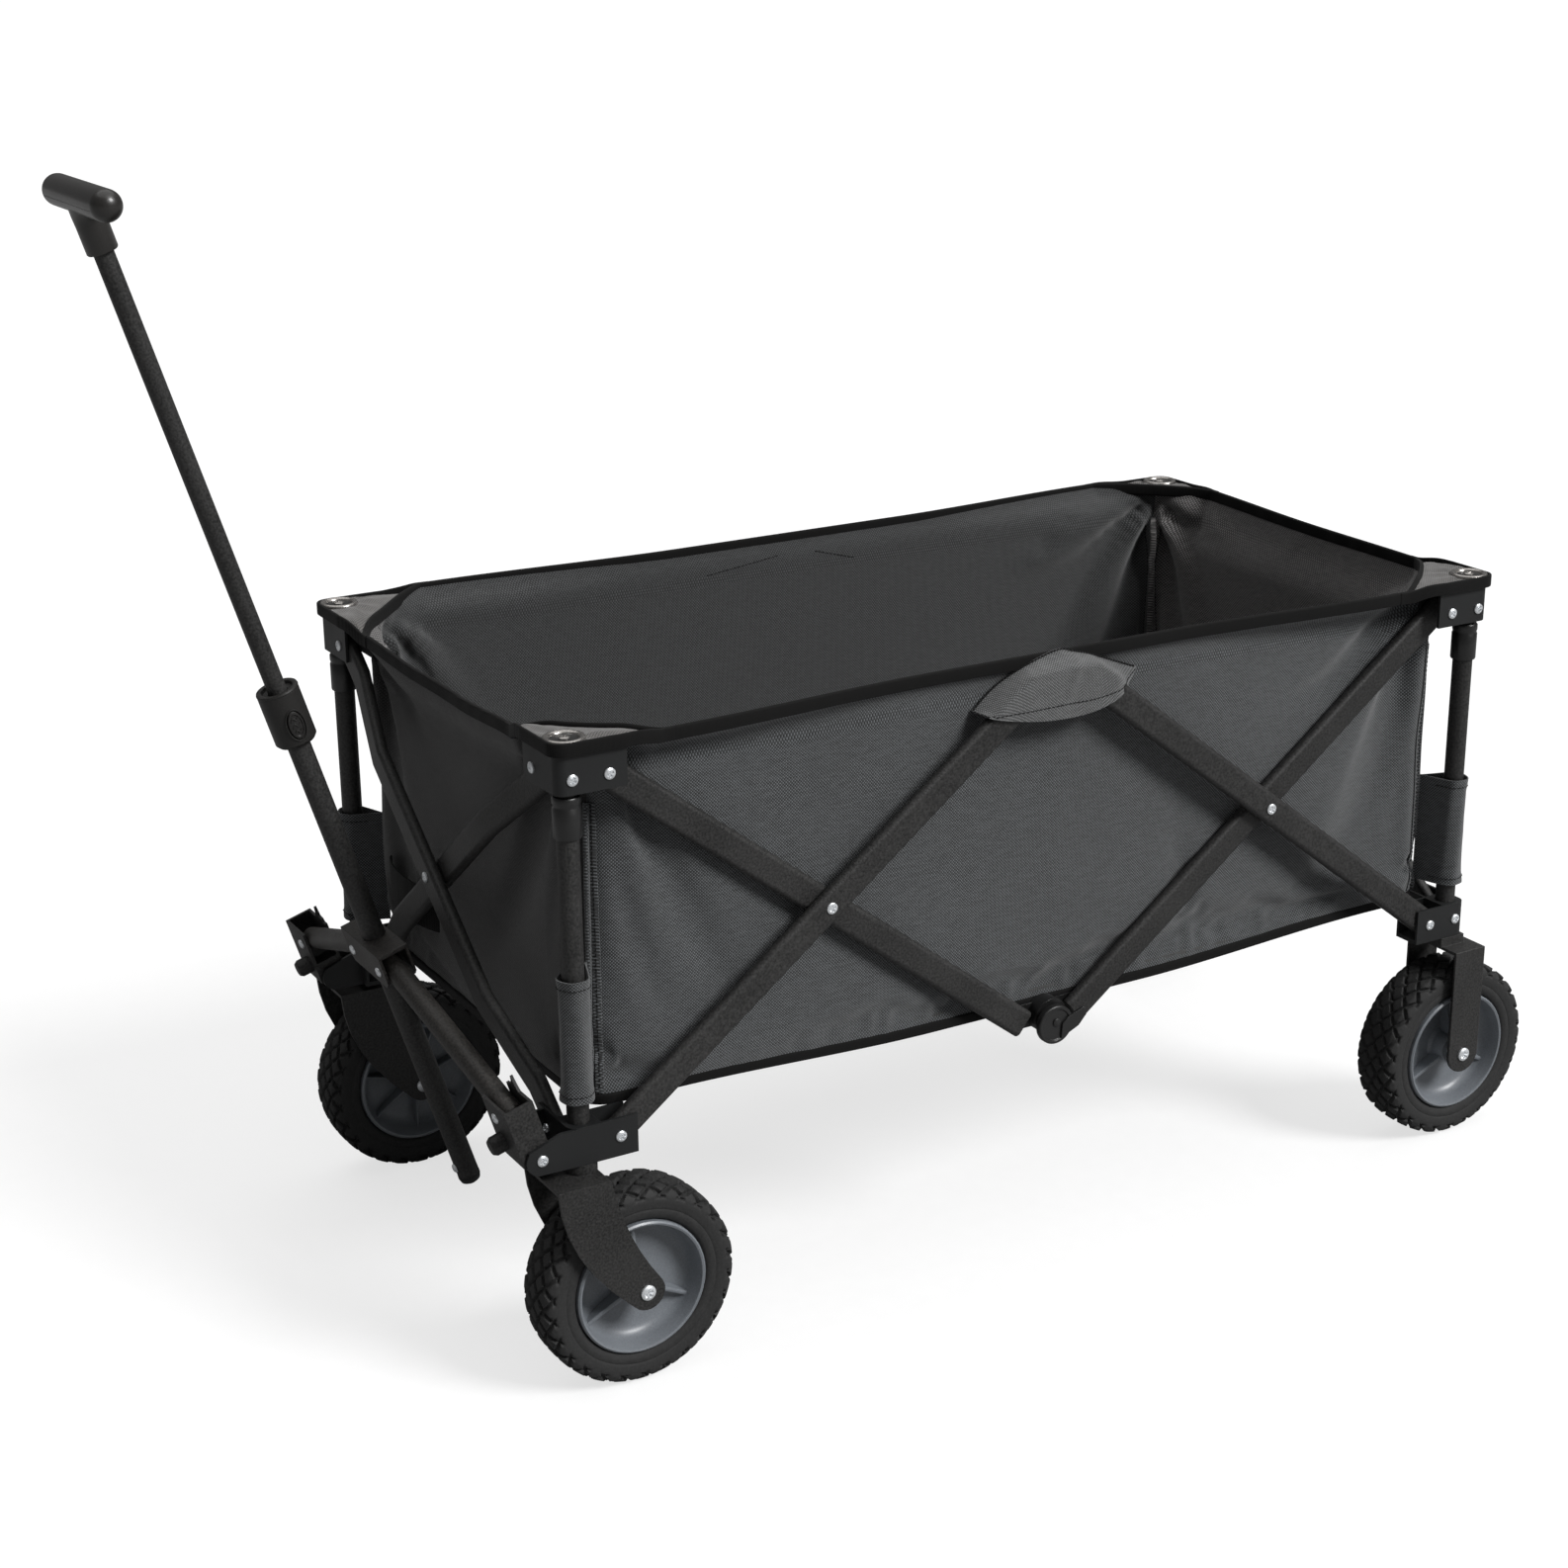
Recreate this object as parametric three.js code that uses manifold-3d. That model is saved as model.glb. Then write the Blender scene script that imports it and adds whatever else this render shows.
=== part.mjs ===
// Folding camp wagon. Millimetres, +Z up, the handle end towards -X, the left side towards -Y.
import * as THREE from "three";
import { mergeVertices } from "three/addons/utils/BufferGeometryUtils.js";
import Module from "manifold-3d";

const wasm = await Module();
wasm.setup();

// Frame: four telescoping posts joined by six equal scissor modules, two to a side and one to an end.
const POST_X = 450;
const POST_Y = 225;
const INSET = 30; // post axis to a bar's bracket pivot
const SPAN = 390; // pivot to pivot across one module
const HUB_REACH = POST_X - INSET - SPAN; // middle of a side to a hub pivot
const LOW_Z = 218; // lower pivots
const HIGH_Z = 517; // upper pivots
const BAR = { width: 25, thick: 10.4, corner: 4.6, end: 3, hubEnd: 4.5 };
const LAYER = 5.4; // bar centre off the post plane, one layer each side
const END_BOW = 14; // end bars bow outwards
const BOW_RUN = 95; // length over which the bow grows

const EAR = { inner: 11, outer: 13.6 };
const ARM = 45; // bracket arm, from the post axis
const WEB = 4;
const TOP_BRACKET = { low: 505, high: 541 };
const LOW_BRACKET = { low: 201, high: 233.5 };

const OUTER_POST = { r: 9, bore: 7.9, low: LOW_BRACKET.low + 5.5, high: 499, collarR: 10.3, collarLow: 470 };
const INNER_POST = { r: 7.6, low: 270, high: TOP_BRACKET.high - 5 };

const WHEEL = { r: 86, half: 24, rimR: 57.5, y: POST_Y };
const AXLE = { r: 5, arm: 29.5, sheet: 3, head: 36 };
const TRAIL = 40; // caster axle behind the swivel
const REAR_AXLE = 6; // rear axle behind the post
const FORK_TOP = 192;
const RIBS = 7;

// Handle: a plane that pitches about the rocker pins, s up along it and n forward of it.
const PITCH = new THREE.Vector3(-488, 0, 214);
const LEAN = THREE.MathUtils.degToRad(17);
const ROCKER_Y = 208;
const ROCKER_PIN = 35.4;
const HUB_PIN = { y: 28, s: 99.9 };
const LINK = { r: 9.5, n: 2, over: 7 };
const SHEET = 2.5;
const TUBE = { r: 9.5, bore: 8.2, low: -131, high: 306 };
const CLAMP = { r: 17, low: 303, high: 350 };
const BUTTON = { s: 322, width: 13, height: 24, face: 18, back: 13.4, floor: 11.4, gap: 0.4 };
const SLIDER = { r: 7.75, low: 276, high: 735 };
const GRIP = { s: 755, r: 12, half: 57.6, neckLow: 715, neckR: 11.5 };

const TUB = { x: 434, y: 209, low: 232, high: 552, wall: 3, floor: 4, corner: 26 };
const MAT = { x: 427, y: 202, low: 236.4, high: 244.4, corner: 22 };

const AHEAD = PITCH.x - Math.sin(LEAN) * GRIP.s - GRIP.r;
const BEHIND = POST_X + REAR_AXLE + WHEEL.r;
const CENTRE_X = (AHEAD + BEHIND) / 2;

const SLOTS = {
  frame: ["#4a4744", 0.55, 0.4],
  plastic: ["#232326", 0.5, 0],
  tyre: ["#1d1d1e", 0.9, 0],
  rim: ["#8d8f92", 0.5, 0],
  zinc: ["#c9cccf", 0.3, 1],
  fabric: ["#55595c", 0.95, 0],
  mat: ["#3a3b3d", 0.95, 0],
  grip: ["#1b1b1d", 0.25, 0],
};

const wagon = new THREE.Group();

function solidOf(geometry) {
  const plain = geometry.index ? geometry.toNonIndexed() : geometry.clone();
  plain.deleteAttribute("normal");
  plain.deleteAttribute("uv");
  const merged = mergeVertices(plain, 1e-4);
  const mesh = new wasm.Mesh({
    numProp: 3,
    vertProperties: merged.attributes.position.array,
    triVerts: new Uint32Array(merged.index.array),
  });
  return new wasm.Manifold(mesh);
}

function geometryOf(solid) {
  const mesh = solid.getMesh();
  const geometry = new THREE.BufferGeometry();
  geometry.setAttribute("position", new THREE.BufferAttribute(mesh.vertProperties, 3));
  geometry.setIndex(new THREE.BufferAttribute(mesh.triVerts, 1));
  geometry.computeVertexNormals();
  return geometry;
}

function add(name, solid, slot) {
  const [color, roughness, metalness] = SLOTS[slot];
  const material = new THREE.MeshStandardMaterial({ color, roughness, metalness });
  const mesh = new THREE.Mesh(geometryOf(solid), material);
  mesh.name = name;
  wagon.add(mesh);
}

function moved(solid, matrix) {
  return solid.transform(matrix.elements);
}

function box(x0, x1, y0, y1, z0, z1) {
  const geometry = new THREE.BoxGeometry(x1 - x0, y1 - y0, z1 - z0);
  geometry.translate((x0 + x1) / 2, (y0 + y1) / 2, (z0 + z1) / 2);
  return solidOf(geometry);
}

// A solid of revolution about Z from [r, z] pairs, anticlockwise in the r-z plane.
function turned(profile, segments) {
  const points = profile.map(([r, z]) => new THREE.Vector2(r, z));
  const geometry = new THREE.LatheGeometry(points, segments);
  geometry.rotateX(Math.PI / 2);
  const solid = solidOf(geometry);
  return solid.volume() < 0 ? reversed(geometry) : solid;
}

function reversed(geometry) {
  const flipped = geometry.clone();
  const order = Array.from(flipped.index.array);
  for (let i = 0; i < order.length; i += 3) [order[i], order[i + 1]] = [order[i + 1], order[i]];
  flipped.setIndex(order);
  return solidOf(flipped);
}

function rod(r, z0, z1, segments = 20) {
  return turned([[0, z0], [r, z0], [r, z1], [0, z1]], segments);
}

function pipe(r, bore, z0, z1, segments = 20) {
  return turned([[bore, z0], [r, z0], [r, z1], [bore, z1], [bore, z0]], segments);
}

function roundedRect(halfX, halfY, r) {
  const shape = new THREE.Shape();
  shape.absarc(halfX - r, halfY - r, r, 0, Math.PI / 2);
  shape.absarc(r - halfX, halfY - r, r, Math.PI / 2, Math.PI);
  shape.absarc(r - halfX, r - halfY, r, Math.PI, 1.5 * Math.PI);
  shape.absarc(halfX - r, r - halfY, r, 1.5 * Math.PI, 2 * Math.PI);
  shape.closePath();
  return shape;
}

function prism(shape, z0, z1, curveSegments = 5, steps = 1) {
  const geometry = new THREE.ExtrudeGeometry(shape, {
    depth: z1 - z0, bevelEnabled: false, curveSegments, steps,
  });
  geometry.translate(0, 0, z0);
  return solidOf(geometry);
}

// A plate whose outline is drawn in (x, z), standing between two y values.
function upright(shape, y0, y1, curveSegments = 6) {
  return prism(shape, -y1, -y0, curveSegments).rotate([90, 0, 0]);
}

function outline(points) {
  return new THREE.Shape(points.map(([x, y]) => new THREE.Vector2(x, y)));
}

// Names a corner, and moves a solid drawn for the front left one (inwards is +x, +y) to it.
const CORNERS = ["fl", "fr", "rl", "rr"].map((name) => ({
  name,
  sx: name[0] === "f" ? -1 : 1,
  sy: name[1] === "l" ? -1 : 1,
}));

function atCorner(solid, corner) {
  let placed = solid;
  if (corner.sx > 0) placed = placed.mirror([1, 0, 0]);
  if (corner.sy > 0) placed = placed.mirror([0, 1, 0]);
  return placed.translate([corner.sx * POST_X, corner.sy * POST_Y, 0]);
}

function bracketPlan() {
  const o = EAR.outer;
  const r = 9;
  const shape = new THREE.Shape();
  shape.moveTo(ARM, -o);
  shape.lineTo(ARM, o);
  shape.lineTo(o, o);
  shape.lineTo(o, ARM);
  shape.lineTo(-o, ARM);
  shape.lineTo(-o, r - o);
  shape.absarc(r - o, r - o, r, Math.PI, 1.5 * Math.PI);
  shape.closePath();
  return shape;
}

function channels(z0, z1) {
  const i = EAR.inner;
  const from = EAR.outer + 0.3;
  return box(from, ARM + 9, -i, i, z0, z1).add(box(-i, i, from, ARM + 9, z0, z1));
}

function topBracket() {
  const { low, high } = TOP_BRACKET;
  const rim = prism(bracketPlan(), high - 5, high, 6).scale([1.04, 1.04, 1]);
  return prism(bracketPlan(), low, high, 6)
    .add(rim)
    .subtract(channels(low - 9, high - WEB))
    .subtract(rod(INNER_POST.r + 0.3, low - 1, INNER_POST.high + 0.4));
}

// Two ears ahead of a front lower bracket that hold the handle's rocker.
function rockerEar(root, y0, y1) {
  const reach = POST_X + PITCH.x;
  const shape = new THREE.Shape();
  shape.moveTo(root, LOW_BRACKET.high - 1);
  shape.lineTo(-EAR.outer - 8, LOW_BRACKET.high - 1);
  shape.lineTo(reach - 11, PITCH.z + 8);
  shape.absarc(reach, PITCH.z, 13, 2.5, 4.4);
  shape.lineTo(root, LOW_BRACKET.low);
  shape.closePath();
  return upright(shape, y0, y1);
}

function rockerEars() {
  const o = EAR.outer;
  const inside = POST_Y - ROCKER_Y + 16.5;
  return rockerEar(-4, -o, -o + 3).add(rockerEar(1 - o, inside, inside + 3));
}

function lowBracket(front) {
  const { low, high } = LOW_BRACKET;
  const body = prism(bracketPlan(), low, high, 6)
    .subtract(channels(low + WEB, high + 9))
    .subtract(rod(OUTER_POST.r + 0.3, low + WEB + 1, high + 1));
  return front ? body.add(rockerEars()) : body;
}

function outerPost() {
  const { r, bore, low, high, collarR, collarLow } = OUTER_POST;
  return turned([
    [bore, low], [r, low], [r, collarLow], [collarR, collarLow + 0.6], [collarR, high - 7],
    [r + 0.3, high - 6], [collarR - 0.2, high - 5], [collarR - 0.2, high], [bore, high], [bore, low],
  ], 20);
}

// A flat oval bar along +X from one pivot to the other, its width along Z and thickness along Y.
function bar(length, startOver, endOver, steps = 1) {
  const section = roundedRect(BAR.width / 2, BAR.thick / 2, BAR.corner);
  const along = prism(section, -startOver, length + endOver, 3, steps);
  return along.rotate([0, 90, 0]);
}

const BAR_LENGTH = Math.hypot(SPAN, HIGH_Z - LOW_Z);
const BAR_ANGLE = THREE.MathUtils.radToDeg(Math.atan2(HIGH_Z - LOW_Z, SPAN));

// Side bar from a bracket pivot at its outer end to a hub pivot near the middle of the side.
function sideBar(corner, low) {
  const solid = bar(BAR_LENGTH, BAR.end, BAR.hubEnd);
  let placed = solid
    .rotate([0, low ? -BAR_ANGLE : BAR_ANGLE, 0])
    .translate([-POST_X + INSET, -POST_Y + (low ? -LAYER : LAYER), low ? LOW_Z : HIGH_Z]);
  if (corner.sx > 0) placed = placed.mirror([1, 0, 0]);
  return corner.sy > 0 ? placed.mirror([0, 1, 0]) : placed;
}

function bow(along) {
  const fromEnd = Math.min(along, BAR_LENGTH - along) - 32;
  const t = THREE.MathUtils.clamp(fromEnd / BOW_RUN, 0, 1);
  return END_BOW * t * t * (3 - 2 * t);
}

// End bar, from its lower pivot on one side to its upper pivot on the other.
function endBar(sx, fromLeft, outside) {
  const bent = bar(BAR_LENGTH, BAR.end, BAR.end, 12).warp((v) => {
    v[1] += bow(v[0]);
  });
  let placed = bent
    .rotate([0, 0, 90])
    .rotate([BAR_ANGLE, 0, 0])
    .translate([-POST_X + (outside ? -LAYER : LAYER), -POST_Y + INSET, LOW_Z]);
  if (sx > 0) placed = placed.mirror([1, 0, 0]);
  return fromLeft ? placed : placed.mirror([0, 1, 0]);
}

function hubPlate(z, y0, y1) {
  const shape = new THREE.Shape();
  shape.absarc(HUB_REACH, z, 11, -Math.PI / 2, Math.PI / 2);
  shape.absarc(-HUB_REACH, z, 11, Math.PI / 2, 1.5 * Math.PI);
  shape.closePath();
  return upright(shape, y0, y1, 6);
}

// Knuckle under the middle of a side: a round hinge body with a plate behind the bar ends.
function lowHub() {
  const behind = -POST_Y + LAYER * 2 + 0.4;
  const barrel = rod(16.2, 0, 14.4, 24).rotate([90, 0, 0]).translate([0, behind + 2.6, LOW_Z]);
  return hubPlate(LOW_Z, behind, behind + 2.6).add(barrel);
}

function highHub() {
  return hubPlate(HIGH_Z, -POST_Y + 0.6, -POST_Y + 7);
}

function frontFork() {
  const arm = new THREE.Shape();
  arm.moveTo(-34, FORK_TOP);
  arm.bezierCurveTo(-32, 150, -15, 116, TRAIL - 12, WHEEL.r - 10);
  arm.absarc(TRAIL, WHEEL.r, 15.5, -2.4, 0.6);
  arm.bezierCurveTo(32, 124, 20, 150, 11, FORK_TOP);
  arm.closePath();
  return forkOf(arm, -34, 11, TRAIL).add(rod(14, FORK_TOP - 1, LOW_BRACKET.low - 0.3));
}

function rearFork() {
  const arm = new THREE.Shape();
  arm.moveTo(-REAR_AXLE - 18, FORK_TOP);
  arm.lineTo(-REAR_AXLE - 18, WHEEL.r);
  arm.absarc(-REAR_AXLE, WHEEL.r, 18, -Math.PI, 0);
  arm.lineTo(18 - REAR_AXLE, FORK_TOP);
  arm.closePath();
  return forkOf(arm, -REAR_AXLE - 18, 18 - REAR_AXLE, -REAR_AXLE)
    .add(box(-14, 14, -14, 14, FORK_TOP - 1, LOW_BRACKET.low - 0.3));
}

// A fork bent from sheet round its wheel: two arms, a top plate and the axle hole.
function forkOf(arm, x0, x1, axleX) {
  const wide = AXLE.arm + AXLE.sheet;
  const hole = rod(AXLE.r + 0.3, -wide - 1, wide + 1, 16).rotate([90, 0, 0]).translate([axleX, 0, WHEEL.r]);
  return upright(arm, -wide, -AXLE.arm)
    .add(upright(arm, AXLE.arm, wide))
    .add(box(x0, x1, -wide, wide, FORK_TOP - AXLE.sheet, FORK_TOP))
    .subtract(hole);
}

function tyre() {
  const { r, half, rimR } = WHEEL;
  return turned([
    [rimR + 0.3, -20], [rimR + 3, -22.5], [rimR + 12, -half], [r - 7, -half + 1], [r - 2, -half + 6], [r, -9],
    [r, 9], [r - 2, half - 6], [r - 7, half - 1], [rimR + 12, half], [rimR + 3, 22.5], [rimR + 0.3, 20],
    [rimR + 0.3, -20],
  ], 30);
}

function rim() {
  const r = WHEEL.rimR;
  const bore = AXLE.r + 0.3;
  const body = turned([
    [bore, -26], [13, -26], [14.5, -4], [44, -3], [50, -8], [52, -22.5], [r, -22], [r, -19.5], [r - 0.4, 19.5],
    [r, 22], [52, 22.5], [50, 8], [44, 3], [14.5, 4], [13, 26], [bore, 26], [bore, -26],
  ], 28);
  let ribbed = body;
  for (let i = 0; i < RIBS; i += 1) {
    const rib = box(11, 51, -1.3, 1.3, -15, 15);
    ribbed = ribbed.add(rib.rotate([0, 0, (360 / RIBS) * i + 12]));
  }
  return ribbed;
}

function axle() {
  const { r, head } = AXLE;
  const face = AXLE.arm + AXLE.sheet + 0.3;
  return turned([
    [0, -head], [6, -head], [8, -head + 1.4], [8, -face], [r, -face], [r, face], [8, face], [8, head - 1.4],
    [6, head], [0, head],
  ], 16);
}

function wheelPlace(corner) {
  const x = corner.sx > 0 ? POST_X + REAR_AXLE : -POST_X + TRAIL;
  return new THREE.Matrix4().makeRotationX(Math.PI / 2).setPosition(x, corner.sy * WHEEL.y, WHEEL.r);
}

// Handle pieces are drawn with x to the left, y up the handle (s) and z forward of it (n).
const HANDLE = new THREE.Matrix4()
  .makeBasis(
    new THREE.Vector3(0, -1, 0),
    new THREE.Vector3(-Math.sin(LEAN), 0, Math.cos(LEAN)),
    new THREE.Vector3(-Math.cos(LEAN), 0, -Math.sin(LEAN)),
  )
  .setPosition(PITCH);

function inHandle(solid) {
  return moved(solid, HANDLE);
}

// Turns a solid of revolution about Z so that its axis runs up the handle.
function alongHandle(solid) {
  return solid.rotate([-90, 0, 0]);
}

function acrossHandle(solid) {
  return solid.rotate([0, 90, 0]);
}

const PLATE_FRONT = LINK.n + LINK.r + 0.4;
const PLATE_BACK = LINK.n - LINK.r - 0.4;

// Left rocker, drawn about its own middle: a channel open inwards over a round knuckle.
function rocker() {
  const outer = EAR.outer + POST_Y - ROCKER_Y - 3.4;
  const inner = -16;
  const front = PLATE_FRONT + SHEET;
  const back = PLATE_BACK - SHEET;
  const knob = turned([[0, 10], [8, 10], [8, 24], [6, 27], [0, 27]], 20);
  const hook = outline([[8, 48], [3, 55], [0, 63], [-3, 54], [-9, 53], [-12, 48]]);
  return acrossHandle(rod(13, inner, outer, 24))
    .add(box(inner, outer, -2, 18, back, front))
    .add(box(outer - 3, outer, -2, 50, back, front))
    .add(box(inner, outer, 10, 50, PLATE_FRONT, front))
    .add(box(inner, outer, 10, 50, back, PLATE_BACK))
    .add(prism(hook, back, PLATE_BACK))
    .add(knob.translate([0, 14, 0]));
}

const LINK_RUN = ROCKER_Y - HUB_PIN.y;
const LINK_RISE = HUB_PIN.s - ROCKER_PIN;
const LINK_LENGTH = Math.hypot(LINK_RUN, LINK_RISE);

function link() {
  const { r, over } = LINK;
  const tube = turned([
    [0, -over], [r - 2, -over], [r, 2 - over], [r, LINK_LENGTH + over - 2], [r - 2, LINK_LENGTH + over],
    [0, LINK_LENGTH + over],
  ], 20);
  const tilt = THREE.MathUtils.radToDeg(Math.atan2(LINK_RISE, LINK_RUN));
  return tube.rotate([0, -90, 0]).rotate([0, 0, -tilt]).translate([ROCKER_Y, ROCKER_PIN, LINK.n]);
}

function linkHub() {
  const half = HUB_PIN.y + 13;
  const back = -TUBE.r - 0.3;
  const front = PLATE_FRONT + SHEET;
  const shape = outline([[-half, 92], [-half + 7, 86], [half - 7, 86], [half, 92], [half, 118], [-half, 118]]);
  const bore = alongHandle(rod(TUBE.r + 0.3, 80, 130));
  return prism(shape, PLATE_FRONT, front)
    .add(prism(shape, back - SHEET, back))
    .add(box(-half, half, 114.6, 118, back - SHEET, front))
    .subtract(bore);
}

function clamp() {
  const { r, low, high } = CLAMP;
  const body = turned([
    [TUBE.r + 0.3, low], [r - 2, low], [r, low + 2.5], [r, high - 2], [r - 1.5, high], [r - 4, high],
    [r - 5, high - 3], [SLIDER.r + 0.35, high - 3], [SLIDER.r + 0.35, TUBE.high + 0.4],
    [TUBE.r + 0.3, TUBE.high + 0.4], [TUBE.r + 0.3, low],
  ], 32);
  const pocket = buttonPlug(BUTTON.gap, BUTTON.floor, r + 4);
  return inHandle(alongHandle(body).subtract(pocket));
}

function buttonPlug(grow, from, to) {
  const w = BUTTON.width / 2 + grow;
  const h = BUTTON.height / 2 + grow;
  const shape = new THREE.Shape();
  shape.absellipse(0, 0, w, h, 0, 2 * Math.PI);
  const plug = prism(shape, from, to, 12);
  return acrossHandle(plug).translate([0, BUTTON.s, 0]);
}

function grip() {
  const { s, r, half, neckLow, neckR } = GRIP;
  const arc = [];
  for (let i = 0; i <= 6; i += 1) {
    const a = (Math.PI / 12) * i;
    arc.push([r * Math.sin(a), half + r * Math.cos(a)]);
  }
  const lower = arc.map(([rr, z]) => [rr, -z]);
  lower[0][0] = 0;
  arc[0][0] = 0;
  const bulb = turned([...lower, ...arc.reverse()], 28);
  const across = acrossHandle(bulb).translate([0, s, 0]);
  const neck = turned([[0, neckLow], [neckR, neckLow], [neckR, neckLow + 20], [0, neckLow + 20]], 28);
  const flare = turned([[0, 0], [neckR, 0], [neckR + 0.2, 20], [0, 20]], 28).warp((v) => {
    v[0] *= 1 + 0.035 * v[2];
  }).translate([0, 0, neckLow + 19]);
  const socket = rod(SLIDER.r + 0.3, neckLow - 1, SLIDER.high + 0.4);
  return inHandle(across.add(alongHandle(neck.add(flare))).subtract(alongHandle(socket)));
}

function tub() {
  const { x, y, low, high, wall, floor, corner } = TUB;
  const shell = prism(roundedRect(x, y, corner), low, high, 6);
  return shell.subtract(prism(roundedRect(x - wall, y - wall, corner - wall), low + floor, high + 1, 6));
}

for (const corner of CORNERS) {
  const front = corner.sx < 0;
  const n = corner.name;
  add(`top_bracket_${n}`, atCorner(topBracket(), corner), "plastic");
  add(`post_inner_${n}`, atCorner(rod(INNER_POST.r, INNER_POST.low, INNER_POST.high), corner), "frame");
  add(`post_outer_${n}`, atCorner(outerPost(), corner), "frame");
  add(`low_bracket_${n}`, atCorner(lowBracket(front), corner), "plastic");
  add(`fork_${n}`, atCorner(front ? frontFork() : rearFork(), corner), "frame");
  add(`tyre_${n}`, moved(tyre(), wheelPlace(corner)), "tyre");
  add(`rim_${n}`, moved(rim(), wheelPlace(corner)), "rim");
  add(`axle_${n}`, moved(axle(), wheelPlace(corner)), "zinc");
  add(`bar_low_${n}`, sideBar(corner, true), "frame");
  add(`bar_high_${n}`, sideBar(corner, false), "frame");
}

for (const [side, sy] of [["l", -1], ["r", 1]]) {
  const flip = (solid) => (sy > 0 ? solid.mirror([0, 1, 0]) : solid);
  add(`hub_low_${side}`, flip(lowHub()), "plastic");
  add(`hub_high_${side}`, flip(highHub()), "plastic");
  add(`rocker_${side}`, flip(inHandle(rocker().translate([ROCKER_Y, 0, 0]))), "frame");
  add(`link_${side}`, flip(inHandle(link())), "frame");
}

for (const [end, sx] of [["front", -1], ["rear", 1]]) {
  add(`end_bar_${end}_outer`, endBar(sx, true, true), "frame");
  add(`end_bar_${end}_inner`, endBar(sx, false, false), "frame");
}

add("link_hub", inHandle(linkHub()), "frame");
add("handle_outer", inHandle(alongHandle(pipe(TUBE.r, TUBE.bore, TUBE.low, TUBE.high, 24))), "frame");
add("handle_clamp", clamp(), "plastic");
add("clamp_button", inHandle(buttonPlug(0, BUTTON.back, BUTTON.face)), "plastic");
add("handle_inner", inHandle(alongHandle(rod(SLIDER.r, SLIDER.low, SLIDER.high, 24))), "frame");
add("grip", grip(), "grip");
add("tub", tub(), "fabric");
add("base_mat", prism(roundedRect(MAT.x, MAT.y, MAT.corner), MAT.low, MAT.high, 5), "mat");

wagon.position.x = -CENTRE_X;

export default wagon;
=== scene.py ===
import math

import bmesh
import bpy
import numpy as np
from mathutils import Matrix, Vector, noise


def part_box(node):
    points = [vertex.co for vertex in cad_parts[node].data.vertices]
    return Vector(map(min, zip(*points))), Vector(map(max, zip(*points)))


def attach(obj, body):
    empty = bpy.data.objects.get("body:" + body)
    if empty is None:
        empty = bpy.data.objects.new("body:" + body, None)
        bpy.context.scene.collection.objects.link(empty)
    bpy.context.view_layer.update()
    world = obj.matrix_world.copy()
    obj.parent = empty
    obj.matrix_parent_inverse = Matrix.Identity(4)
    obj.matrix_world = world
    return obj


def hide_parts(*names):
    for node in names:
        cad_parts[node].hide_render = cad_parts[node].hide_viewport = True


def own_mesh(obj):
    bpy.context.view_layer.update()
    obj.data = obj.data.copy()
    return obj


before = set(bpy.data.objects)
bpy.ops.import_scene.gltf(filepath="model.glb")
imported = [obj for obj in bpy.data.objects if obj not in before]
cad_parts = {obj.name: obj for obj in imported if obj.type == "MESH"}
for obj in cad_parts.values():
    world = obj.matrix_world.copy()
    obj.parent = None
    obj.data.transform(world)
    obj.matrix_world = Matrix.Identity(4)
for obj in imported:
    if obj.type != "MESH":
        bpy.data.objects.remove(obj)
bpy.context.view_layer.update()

# Folding camp wagon: materials, cloth, tread, fasteners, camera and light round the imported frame.
# Shapes are drawn in millimetres in wagon coordinates: x = 0 is the middle of the tub,
# -x is the handle end, -y the left side and z is up. put() turns them into the row frame's metres.

MM = 0.001
CORNERS = {"fl": (-1, -1), "fr": (-1, 1), "rl": (1, -1), "rr": (1, 1)}
SIDES = {"l": -1, "r": 1}
WORDS = {"f": "front", "r": "rear"}
LOW_BODY = {c: f"{WORDS[c[0]]}_{'left' if c[1] == 'l' else 'right'}_corner" for c in CORNERS}


def centre(node):
    low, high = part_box(node)
    return (low + high) / 2


MID_X = (centre("post_inner_fl").x + centre("post_inner_rl").x) / 2
POST_X = (centre("post_inner_rl").x - centre("post_inner_fl").x) / 2 / MM
POST_Y = centre("post_inner_fr").y / MM
WHEEL = {c: centre(f"tyre_{c}") for c in CORNERS}
TUB_LOW, TUB_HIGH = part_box("tub")
TUB_X = (TUB_HIGH.x - TUB_LOW.x) / 2 / MM
TUB_Y = TUB_HIGH.y / MM
TUB_Z0 = TUB_LOW.z / MM
TUB_Z1 = TUB_HIGH.z / MM
INSET = 30  # a bar's end pivots, in from the post axis
LOW_Z, HIGH_Z = 218, 517  # heights of the lower and upper pivots
MID_Z = (LOW_Z + HIGH_Z) / 2  # height of the bars' crossings
BAR_OUT = 10.6  # a bar's far face off the post plane
EAR_OUT = 13.6  # a bracket's ear, off the same plane

# Tub
TUB_R = 26  # radius of the corners in plan
RIM_Z = TUB_Z1 - 3  # the walls' own top edge, inside the binding
CUT_X, CUT_Y = 64, 60  # how far a corner piece reaches along the walls
FLARE = 24  # how far the bound edge is drawn out to the brackets
FLARE_MID_SIDE, FLARE_MID_END = 10, 20  # the same in the middle of a side and of an end
END_FROM, SIDE_FROM = 488, 527  # heights at which the walls start to lean out, clear of the bars
ROWS = 40
MID_ROW = 40  # a row half-way up the refined wall
CLOTH = 1.1
OUT_CAP, IN_CAP = 3.4, 20  # how far settled cloth may stand out from its plan, and in
SIDE_FOLDED, END_FOLDED = 343, 173  # length and width of the folded tub
SIDE_LEFT = (SIDE_FOLDED - 2 * CUT_X) / (2 * TUB_X - 2 * CUT_X)
END_LEFT = (END_FOLDED - 2 * CUT_Y) / (2 * TUB_Y - 2 * CUT_Y)
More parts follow.
